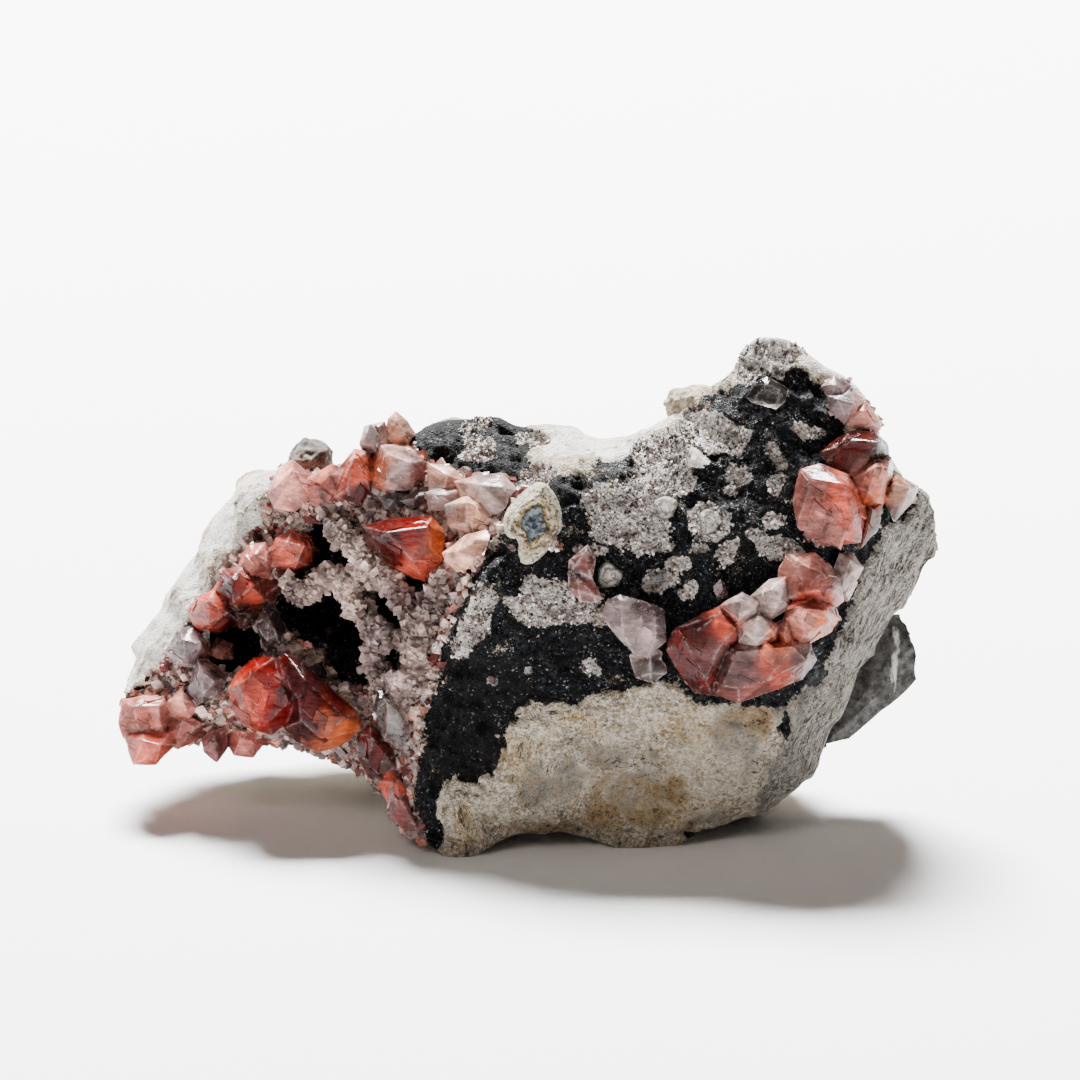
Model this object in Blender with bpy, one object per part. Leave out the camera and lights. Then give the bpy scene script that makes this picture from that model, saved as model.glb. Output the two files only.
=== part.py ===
"""Rhodochrosite on matrix: a free-standing cabinet specimen about 82 mm wide.

The rock is described in its show plane, a plane that leans back from upright: u runs to the
right, v runs up the plane and w comes out of it, all in millimetres. show_to_world turns these
into the part's own frame, in metres, with +Z up and the origin under the middle of the piece.
"""
import math

import bmesh
import bpy
import numpy as np

MM = 0.001
WELD = 0.000001                  # metres
SHOW_LEAN = math.radians(15)     # how far the show plane leans back
CENTRE_X = -0.2                  # show-plane millimetres that land on the part's origin
CENTRE_Y = 23.7
FLOOR_Z = -1.0
INTERGROWTH = 0.3               # how far a crystal's outline reaches into its neighbours
GAP = 0.3                        # clearance between a crystal and the rock that carries it

LEFT_END = -41.0
RIGHT_END = 40.9
FRONT_ROLL = 3.5                 # rounding of the front face towards the outline
BACK_ROLL = 9.0                  # rounding of the back
ROCK_COLUMNS = 46
ROCK_FRONT_ROWS = 22
ROCK_BACK_ROWS = 12

# Where the rock stands flat on what carries it: x, y and radius in the part's frame, millimetres.
FEET = [(-7.5, -19.0, 3.0), (11.5, -15.0, 3.5), (-6.0, 9.0, 4.0), (8.0, 7.0, 6.0), (19.0, 5.0, 3.0)]

# Outline of the rock in the show plane (u, v).
TOP_LINE = [
    (-41.0, 17.0), (-39.9, 21.1), (-37.0, 26.2), (-34.9, 30.0), (-32.5, 33.0), (-31.5, 35.5),
    (-29.0, 38.0), (-26.5, 39.4), (-23.0, 39.2), (-19.0, 38.8), (-15.0, 40.5), (-12.0, 42.2),
    (-9.0, 44.3), (-5.0, 44.7), (-3.0, 44.5), (-1.0, 43.5), (1.5, 43.5), (4.0, 43.0),
    (7.0, 42.0), (11.0, 43.0), (13.0, 44.2), (15.4, 45.6), (17.6, 47.0), (20.2, 48.7),
    (21.4, 50.6), (22.0, 51.9), (23.2, 52.4), (26.3, 52.1), (27.8, 50.9), (28.8, 49.6),
    (32.0, 48.0), (34.0, 46.0), (35.0, 44.3), (35.2, 42.1), (36.2, 40.1), (37.4, 38.6),
    (39.1, 37.5), (40.1, 36.3), (40.9, 34.5),
]
BOTTOM_LINE = [
    (-41.0, 15.5), (-38.0, 14.5), (-34.0, 12.5), (-29.0, 11.5), (-23.0, 10.9), (-20.3, 9.6),
    (-17.4, 9.1), (-16.5, 8.4), (-15.5, 7.0), (-13.0, 4.8), (-12.0, 3.0), (-10.0, 1.2),
    (-8.9, 0.7), (-7.4, -0.2), (-6.0, -0.2), (-4.6, 0.4), (-3.5, 1.5), (-0.6, 2.7),
    (1.7, 2.4), (3.3, 2.9), (4.8, 2.2), (6.6, 1.8), (8.8, 1.0), (11.0, 0.7), (14.1, 1.2),
    (17.9, 2.4), (21.7, 3.8), (24.8, 5.5), (27.8, 8.2), (29.4, 10.5), (32.0, 16.0),
    (34.0, 19.5), (37.2, 24.8), (39.0, 27.0), (40.4, 29.2), (40.9, 31.8),
]

# Depth pins (u, v, w): how far the surface stands out of the show plane at named spots.
RIGHT_FACE_PINS = [
    (11, 30, 0.0), (3, 30, -0.3), (1, 38, -2.0), (-3, 24, -0.8), (-8, 22, -2.5), (-9, 10, -3.5),
    (-10.5, 14, -4.0), (-7.4, 2, -4.0), (-5, 6, -2.8), (3, 15.5, -0.4), (3, 9, -2.4),
    (3, 4, -5.0), (11, 17, 0.2), (11, 10, -2.4), (11, 4, -6.0), (21, 14, -1.0), (21, 7, -6.0),
    (17, 39, -1.5), (11, 43, -6.5), (21, 46, -4.5), (24, 51.5, -8.0), (29, 39, -1.8),
    (33, 46, -6.5), (35, 42, -6.2), (38.5, 37, -6.5), (34.5, 32, -2.8), (33, 29.4, -2.4),
    (30, 22, -2.0), (27, 16, -3.0), (33, 22, -7.0), (37, 30, -7.5), (40.5, 33, -11.5),
    (29.2, 11, -10.0), (25, 6, -9.5), (7, 40.5, -5.0), (3, 42, -10.0),
]
LEFT_FACE_PINS = [
    (-41, 16, -20.0), (-38, 12, -17.5), (-33, 12, -14.5), (-26.5, 12, -13.5), (-19, 10, -12.5),
    (-15, 8, -9.5), (-13, 16, -8.0), (-10, 24, -8.0), (-7, 30, -7.5), (-3, 34, -7.0),
    (-12.5, 31, -12.0), (-5, 39, -14.0), (-6, 43, -18.0), (1, 42, -16.0), (-15, 39, -17.0),
    (-23, 37, -19.0), (-29, 34, -22.0), (-33, 27, -21.0), (-38, 20, -21.0), (-20, 26, -16.0),
    (-27, 22, -17.0), (-23, 16, -13.5),
]
EDGE_PINS = [
    (-41.3, 13, -22.0), (-33, 31, -28.0), (-23, 40, -27.0), (-13, 44, -25.0), (-5, 44.7, -22.0),
    (3, 43, -18.0), (12, 44, -14.0), (19, 47.5, -11.0), (24, 52.3, -9.0), (32, 48, -9.0),
    (37, 39, -10.0), (40.9, 33, -13.0), (37.2, 24.8, -13.0), (33, 17, -13.0), (29.4, 10.5, -12.0),
    (21, 3.8, -11.0), (11, 0.7, -8.0), (3, 2.7, -9.0), (-7.4, -0.2, -4.5), (-13, 3.5, -7.0),
    (-14, 6.2, -10.0), (-19, 9.2, -18.0), (-29, 10.5, -20.0), (-39, 9.5, -20.0),
]
BACK_PINS = [
    (24, 49, -20.0), (32, 41, -24.0), (37, 32, -24.0), (32, 21, -28.0), (25, 12, -32.0),
    (19, 7, -33.5), (11, 8, -36.0), (-3, 8, -36.5), (11, 26, -34.0), (11, 38, -29.0),
    (3, 30, -36.0), (-5, 26, -39.0), (-13, 36, -39.0), (-23, 30, -42.0), (-33, 22, -38.0),
    (-38, 14, -32.0), (-23, 16, -39.0), (-13, 14, -38.5), (-8, 3, -20.0),
]

# The ridge between the lobes, from its foot to the saddle (v, u).
RIDGE_V = [1.0, 6.0, 10.0, 14.0, 17.0, 22.0, 26.0, 30.0, 33.0, 36.0, 38.2, 41.0, 44.0]
RIDGE_U = [-10.2, -12.0, -11.5, -10.5, -9.8, -8.5, -7.5, -5.0, -3.0, -1.0, 1.0, 2.0, 3.5]
RIDGE_HALF_WIDTH = 1.4

# Hollows of the left lobe: centre u and v, half-width, half-height, depth.
HOLLOWS = [
    (-19.5, 31.2, 3.0, 2.6, 8.0), (-21.0, 25.0, 4.2, 3.4, 9.0), (-12.5, 26.0, 2.8, 3.0, 7.0),
    (-16.5, 20.5, 3.8, 2.8, 8.0), (-29.8, 21.2, 2.8, 2.2, 5.0),
]


def show_to_world(u, v, w):
    """Turn show-plane millimetres into metres in the part's frame."""
    lean_sin, lean_cos = math.sin(SHOW_LEAN), math.cos(SHOW_LEAN)
    x = u - CENTRE_X
    y = v * lean_sin - w * lean_cos - CENTRE_Y
    z = v * lean_cos + w * lean_sin - FLOOR_Z
    return np.stack([x, y, z], axis=-1) * MM


def soft_line(points, u, reach=0.9):
    """Height of an outline at u: straight runs between its points, averaged over a short reach."""
    us, vs = np.array(points).T
    shifts = np.linspace(-reach, reach, 7)
    return np.mean([np.interp(u + shift, us, vs) for shift in shifts], axis=0)


def thin_plate(pins):
    """The smooth sheet through all pins: a plane plus one r*r*log(r) dome for each pin."""
    pins = np.array(pins, float)
    pu, pv, pw = pins.T

    def domes(u, v):
        square = (u[..., None] - pu) ** 2 + (v[..., None] - pv) ** 2
        return 0.5 * square * np.log(square + 1e-9)

    count = len(pins)
    flat = np.stack([np.ones(count), pu, pv], axis=1)
    system = np.zeros((count + 3, count + 3))
    system[:count, :count] = domes(pu, pv)
    system[:count, count:] = flat
    system[count:, :count] = flat.T
    weights = np.linalg.solve(system, np.append(pw, np.zeros(3)))

    def sheet(u, v):
        u, v = np.asarray(u, float), np.asarray(v, float)
        bend = domes(u, v) @ weights[:count]
        return bend + weights[count] + weights[count + 1] * u + weights[count + 2] * v

    return sheet


right_face = thin_plate(RIGHT_FACE_PINS)
left_face = thin_plate(LEFT_FACE_PINS)
edge_depth = thin_plate(EDGE_PINS)
back_face = thin_plate(BACK_PINS)


def lattice_noise(points, size, seed):
    """Smooth noise from -1 to 1: random values on a cubic lattice, blended between its corners."""
    cell = np.asarray(points, float) / size
    corner = np.floor(cell).astype(np.int64)
    part = cell - corner
    part = part * part * (3.0 - 2.0 * part)
    total = np.zeros(cell.shape[:-1])
    for step in np.ndindex(2, 2, 2):
        key = (corner + step) @ np.array([73856093, 19349663, 83492791]) + seed * 2654435761
        key = (key ^ (key >> 13)) * 1274126177 % 2147483647
        share = np.prod(np.where(np.array(step) == 1, part, 1.0 - part), axis=-1)
        total += share * (key % 65536) / 65535.0
    return 2.0 * total - 1.0


def smooth_step(x):
    x = np.clip(x, 0.0, 1.0)
    return x * x * (3.0 - 2.0 * x)


def ledges(points, spacing, seed):
    """Broken steps across the rock: a slow rise, then a quick drop, along wandering bands."""
    level = points[..., 1] + 0.35 * points[..., 0] + 2.0 * lattice_noise(points, 10.0, seed)
    part = level / spacing - np.floor(level / spacing)
    return part - smooth_step((part - 0.72) / 0.28) - 0.36


def ridge_share(u, v):
    """1 on the right lobe, 0 on the left one, with a short ramp across the ridge."""
    across = u - np.interp(v, RIDGE_V, RIDGE_U)
    return smooth_step(0.5 + across / (2.0 * RIDGE_HALF_WIDTH))


def front_depth(u, v):
    """Depth of the front face: both lobes, blended at the ridge, less the hollows."""
    share = ridge_share(u, v)
    left = left_face(u, v)
    for cu, cv, half_u, half_v, depth in HOLLOWS:
        reach = ((u - cu) / half_u) ** 2 + ((v - cv) / half_v) ** 2
        left = left - depth * np.exp(-reach * reach * 0.7)
    return left + (right_face(u, v) - left) * share


def edge_distance(u, v):
    """Distance in the show plane to the rock's outline, measured to closely spaced marks on it."""
    marks = np.linspace(LEFT_END, RIGHT_END, 220)
    us = np.concatenate([marks, marks])
    vs = np.concatenate([soft_line(TOP_LINE, marks), soft_line(BOTTOM_LINE, marks)])
    nearest = np.full(u.shape, 1e9)
    for mu, mv in zip(us, vs):
        nearest = np.minimum(nearest, (u - mu) ** 2 + (v - mv) ** 2)
    return np.sqrt(nearest)


def quarter_round(distance, radius):
    """0 at the outline, 1 from one radius inwards, along a quarter circle."""
    rest = 1.0 - np.clip(distance / radius, 0.0, 1.0)
    return np.sqrt(1.0 - rest * rest)


def surface_depth(u, v):
    """Depth of the finished front face, as the crystals meet it."""
    u, v = np.asarray(u, float), np.asarray(v, float)
    edge = edge_depth(u, v)
    return edge + (front_depth(u, v) - edge) * quarter_round(edge_distance(u, v), FRONT_ROLL)


def matrix_rings(columns, front_rows, back_rows):
    """Rings of points round the rock, one for each column along u, as an array of world points."""
    s = np.linspace(0.0, 1.0, columns)
    spread = 0.75 * s + 0.25 * (0.5 - 0.5 * np.cos(np.pi * s))
    u = (LEFT_END + (RIGHT_END - LEFT_END) * spread)[:, None]
    rise_front = np.linspace(0.0, 1.0, front_rows + 1)
    rise_back = np.linspace(1.0, 0.0, back_rows + 1)[1:-1]
    climb = np.concatenate([rise_front, rise_back])
    climb = 0.6 * climb + 0.4 * (0.5 - 0.5 * np.cos(np.pi * climb))
    is_back = np.arange(len(climb)) > front_rows
    low, high = soft_line(BOTTOM_LINE, u), soft_line(TOP_LINE, u)
    v = low + (high - low) * climb
    u = np.broadcast_to(u, v.shape)
    distance = edge_distance(u, v)
    distance[:, 0] = 0.0
    distance[:, front_rows] = 0.0
    edge = edge_depth(u, v)
    front = edge + (front_depth(u, v) - edge) * quarter_round(distance, FRONT_ROLL)
    back = edge + (back_face(u, v) - edge) * quarter_round(distance, BACK_ROLL)
    w = np.where(is_back, back, front)
    points = np.stack([u, v, w], axis=-1)
    along = np.gradient(points, axis=0)
    around = np.roll(points, -1, axis=1) - np.roll(points, 1, axis=1)
    normal = np.cross(around, along)
    normal /= np.linalg.norm(normal, axis=-1, keepdims=True) + 1e-12
    rough = lattice_noise(points, 7.0, 3) * 0.7 + lattice_noise(points, 3.4, 5) * 0.5
    amount = np.where(is_back, 1.2, 0.55)
    steps = ledges(points, 6.5, 17) * np.where(is_back, 1.6, 0.5)
    points = points + normal * (rough * amount + steps)[..., None]
    world = show_to_world(points[..., 0], points[..., 1], points[..., 2])
    return settle_on_floor(world)


def settle_on_floor(world):
    """Flatten the underside where it would pass the floor, with shallow dents between the feet."""
    spot = np.stack([world[..., 0], world[..., 1], world[..., 0] * 0.0], axis=-1) / MM
    dent = np.clip(lattice_noise(spot, 8.0, 11) * 2.0 + 0.7, 0.0, 1.6) * MM
    for foot_x, foot_y, radius in FEET:
        away = np.hypot(spot[..., 0] - foot_x, spot[..., 1] - foot_y)
        dent = dent * smooth_step((away - radius) / 3.0)
    world[..., 2] = np.maximum(world[..., 2], dent)
    return world


def clear_scene():
    for thing in list(bpy.data.objects):
        bpy.data.objects.remove(thing, do_unlink=True)


def new_collection(name):
    collection = bpy.data.collections.new(name)
    bpy.context.scene.collection.children.link(collection)
    return collection


def make_material(name, colour, roughness, transmission=0.0):
    material = bpy.data.materials.new(name)
    material.use_nodes = True
    shader = material.node_tree.nodes["Principled BSDF"]
    shader.inputs["Base Color"].default_value = (*colour, 1.0)
    shader.inputs["Roughness"].default_value = roughness
    shader.inputs["Metallic"].default_value = 0.0
    shader.inputs["IOR"].default_value = 1.6
    shader.inputs["Transmission Weight"].default_value = transmission
    return material


def object_from_bmesh(name, bm, collection):
    bmesh.ops.recalc_face_normals(bm, faces=bm.faces)
    mesh = bpy.data.meshes.new(name)
    bm.to_mesh(mesh)
    bm.free()
    thing = bpy.data.objects.new(name, mesh)
    collection.objects.link(thing)
    return thing


def rock_bmesh(columns, front_rows, back_rows):
    """The rings joined by quads, with a fan of triangles closing each end."""
    rings = matrix_rings(columns, front_rows, back_rows)
    bm = bmesh.new()
    grid = [[bm.verts.new(point) for point in ring] for ring in rings]
    count = len(grid[0])
    for ring, after in zip(grid[:-1], grid[1:]):
        for k in range(count):
            bm.faces.new((ring[k], ring[(k + 1) % count], after[(k + 1) % count], after[k]))
    for ring, points in ((grid[0], rings[0]), (grid[-1], rings[-1])):
        middle = bm.verts.new(points.mean(axis=0))
        for k in range(count):
            bm.faces.new((ring[k], ring[(k + 1) % count], middle))
    return bm


def hull_bmesh(points):
    """The convex solid through a set of world points."""
    bm = bmesh.new()
    for point in points:
        bm.verts.new(point)
    result = bmesh.ops.convex_hull(bm, input=bm.verts)
    spare = {item for item in result["geom_interior"] + result["geom_unused"]
             if isinstance(item, bmesh.types.BMVert)}
    bmesh.ops.delete(bm, geom=list(spare), context="VERTS")
    bmesh.ops.dissolve_limit(bm, angle_limit=math.radians(2), verts=bm.verts, edges=bm.edges)
    return bm


def crystal_points(rim, tops, rise=1.0, root=2.5, shrink=0.85):
    """Corner points of one crystal.

    rim is its outline in the show plane, rise how far the outline stands off the rock, tops the
    corners of its front faces (u, v, height over the rock), root how deep its hidden end goes.
    """
    rim = np.array(rim, float)
    tops = np.array(tops, float)
    middle = rim.mean(axis=0)
    away = rim - middle
    rim = rim + INTERGROWTH * away / np.linalg.norm(away, axis=1, keepdims=True)
    ground = float(surface_depth(middle[0], middle[1]))
    rim_ground = 0.5 * ground + 0.5 * surface_depth(rim[:, 0], rim[:, 1])
    foot = middle + shrink * (rim - middle)
    points = [show_to_world(rim[:, 0], rim[:, 1], rim_ground + rise),
              show_to_world(tops[:, 0], tops[:, 1], ground + tops[:, 2]),
              show_to_world(foot[:, 0], foot[:, 1], rim_ground - root)]
    return np.concatenate(points)


def evaluated_copy(thing, name, collection):
    """The object as its modifiers leave it, as a new object; the old one is removed."""
    depsgraph = bpy.context.evaluated_depsgraph_get()
    mesh = bpy.data.meshes.new_from_object(thing.evaluated_get(depsgraph))
    mesh.name = name
    bpy.data.objects.remove(thing, do_unlink=True)
    result = bpy.data.objects.new(name, mesh)
    collection.objects.link(result)
    return result


def union_of(name, meshes, collection, workshop):
    """One solid from several overlapping ones."""
    pieces = [object_from_bmesh(name + "_piece", bm, workshop) for bm in meshes]
    for number, other in enumerate(pieces[1:]):
        modifier = pieces[0].modifiers.new(f"join_{number}", "BOOLEAN")
        modifier.operation = "UNION"
        modifier.solver = "EXACT"
        modifier.object = other
    result = evaluated_copy(pieces[0], name, collection)
    for other in pieces[1:]:
        bpy.data.objects.remove(other, do_unlink=True)
    return result


def drop_flaps(bm):
    """Remove pairs of triangles that lie back to back on the same three corners."""
    partners = {}
    for face in bm.faces:
        partners.setdefault(frozenset(face.verts), []).append(face)
    flaps = [face for faces in partners.values() if len(faces) > 1 for face in faces]
    bmesh.ops.delete(bm, geom=flaps, context="FACES_ONLY")
    loose = [edge for edge in bm.edges if not edge.link_faces]
    bmesh.ops.delete(bm, geom=loose, context="EDGES")
    lonely = [vert for vert in bm.verts if not vert.link_edges]
    bmesh.ops.delete(bm, geom=lonely, context="VERTS")


def keep_largest_body(thing):
    """Drop the chips that a cut leaves behind, and weld what it left doubled."""
    bm = bmesh.new()
    bm.from_mesh(thing.data)
    bmesh.ops.remove_doubles(bm, verts=bm.verts, dist=WELD)
    bmesh.ops.dissolve_degenerate(bm, edges=bm.edges, dist=WELD)
    bodies = []
    waiting = set(bm.verts)
    while waiting:
        body, stack = set(), [waiting.pop()]
        while stack:
            vert = stack.pop()
            body.add(vert)
            for edge in vert.link_edges:
                other = edge.other_vert(vert)
                if other in waiting:
                    waiting.discard(other)
                    stack.append(other)
        bodies.append(body)
    bodies.sort(key=len)
    for body in bodies[:-1]:
        bmesh.ops.delete(bm, geom=list(body), context="VERTS")
    bmesh.ops.triangulate(bm, faces=bm.faces, ngon_method="EAR_CLIP")
    drop_flaps(bm)
    bmesh.ops.recalc_face_normals(bm, faces=bm.faces)
    bm.to_mesh(thing.data)
    bm.free()


def box_corners(thing):
    places = np.array([vert.co for vert in thing.data.vertices])
    return places.min(axis=0), places.max(axis=0)


def boxes_meet(one, other):
    low_a, high_a = box_corners(one)
    low_b, high_b = box_corners(other)
    return bool(np.all(low_a < high_b) and np.all(low_b < high_a))


def cut_clear_of(thing, cutters, name, collection):
    """Take the swollen rock and neighbours out of a crystal group, so that it keeps its gap."""
    for number, cutter in enumerate(cutters):
        if boxes_meet(thing, cutter):
            modifier = thing.modifiers.new(f"clear_{number}", "BOOLEAN")
            modifier.operation = "DIFFERENCE"
            modifier.solver = "EXACT"
            modifier.use_self = True
            modifier.object = cutter
    result = evaluated_copy(thing, name, collection)
    keep_largest_body(result)
    return result


def rough_lump(centre, radii, draw, corners=14):
    """A rounded, irregular lump: the hull of points drawn on an ellipsoid in the show plane."""
    spots = draw.normal(size=(corners, 3))
    spots /= np.linalg.norm(spots, axis=1, keepdims=True)
    spots = np.array(centre) + spots * radii * draw.uniform(0.85, 1.1, size=(corners, 1))
    return hull_bmesh(show_to_world(*spots.T))


def face_lump(u, v, half_u, half_v, height, draw):
    ground = float(surface_depth(u, v))
    return rough_lump((u, v, ground), (half_u, half_v, height), draw)


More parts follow.
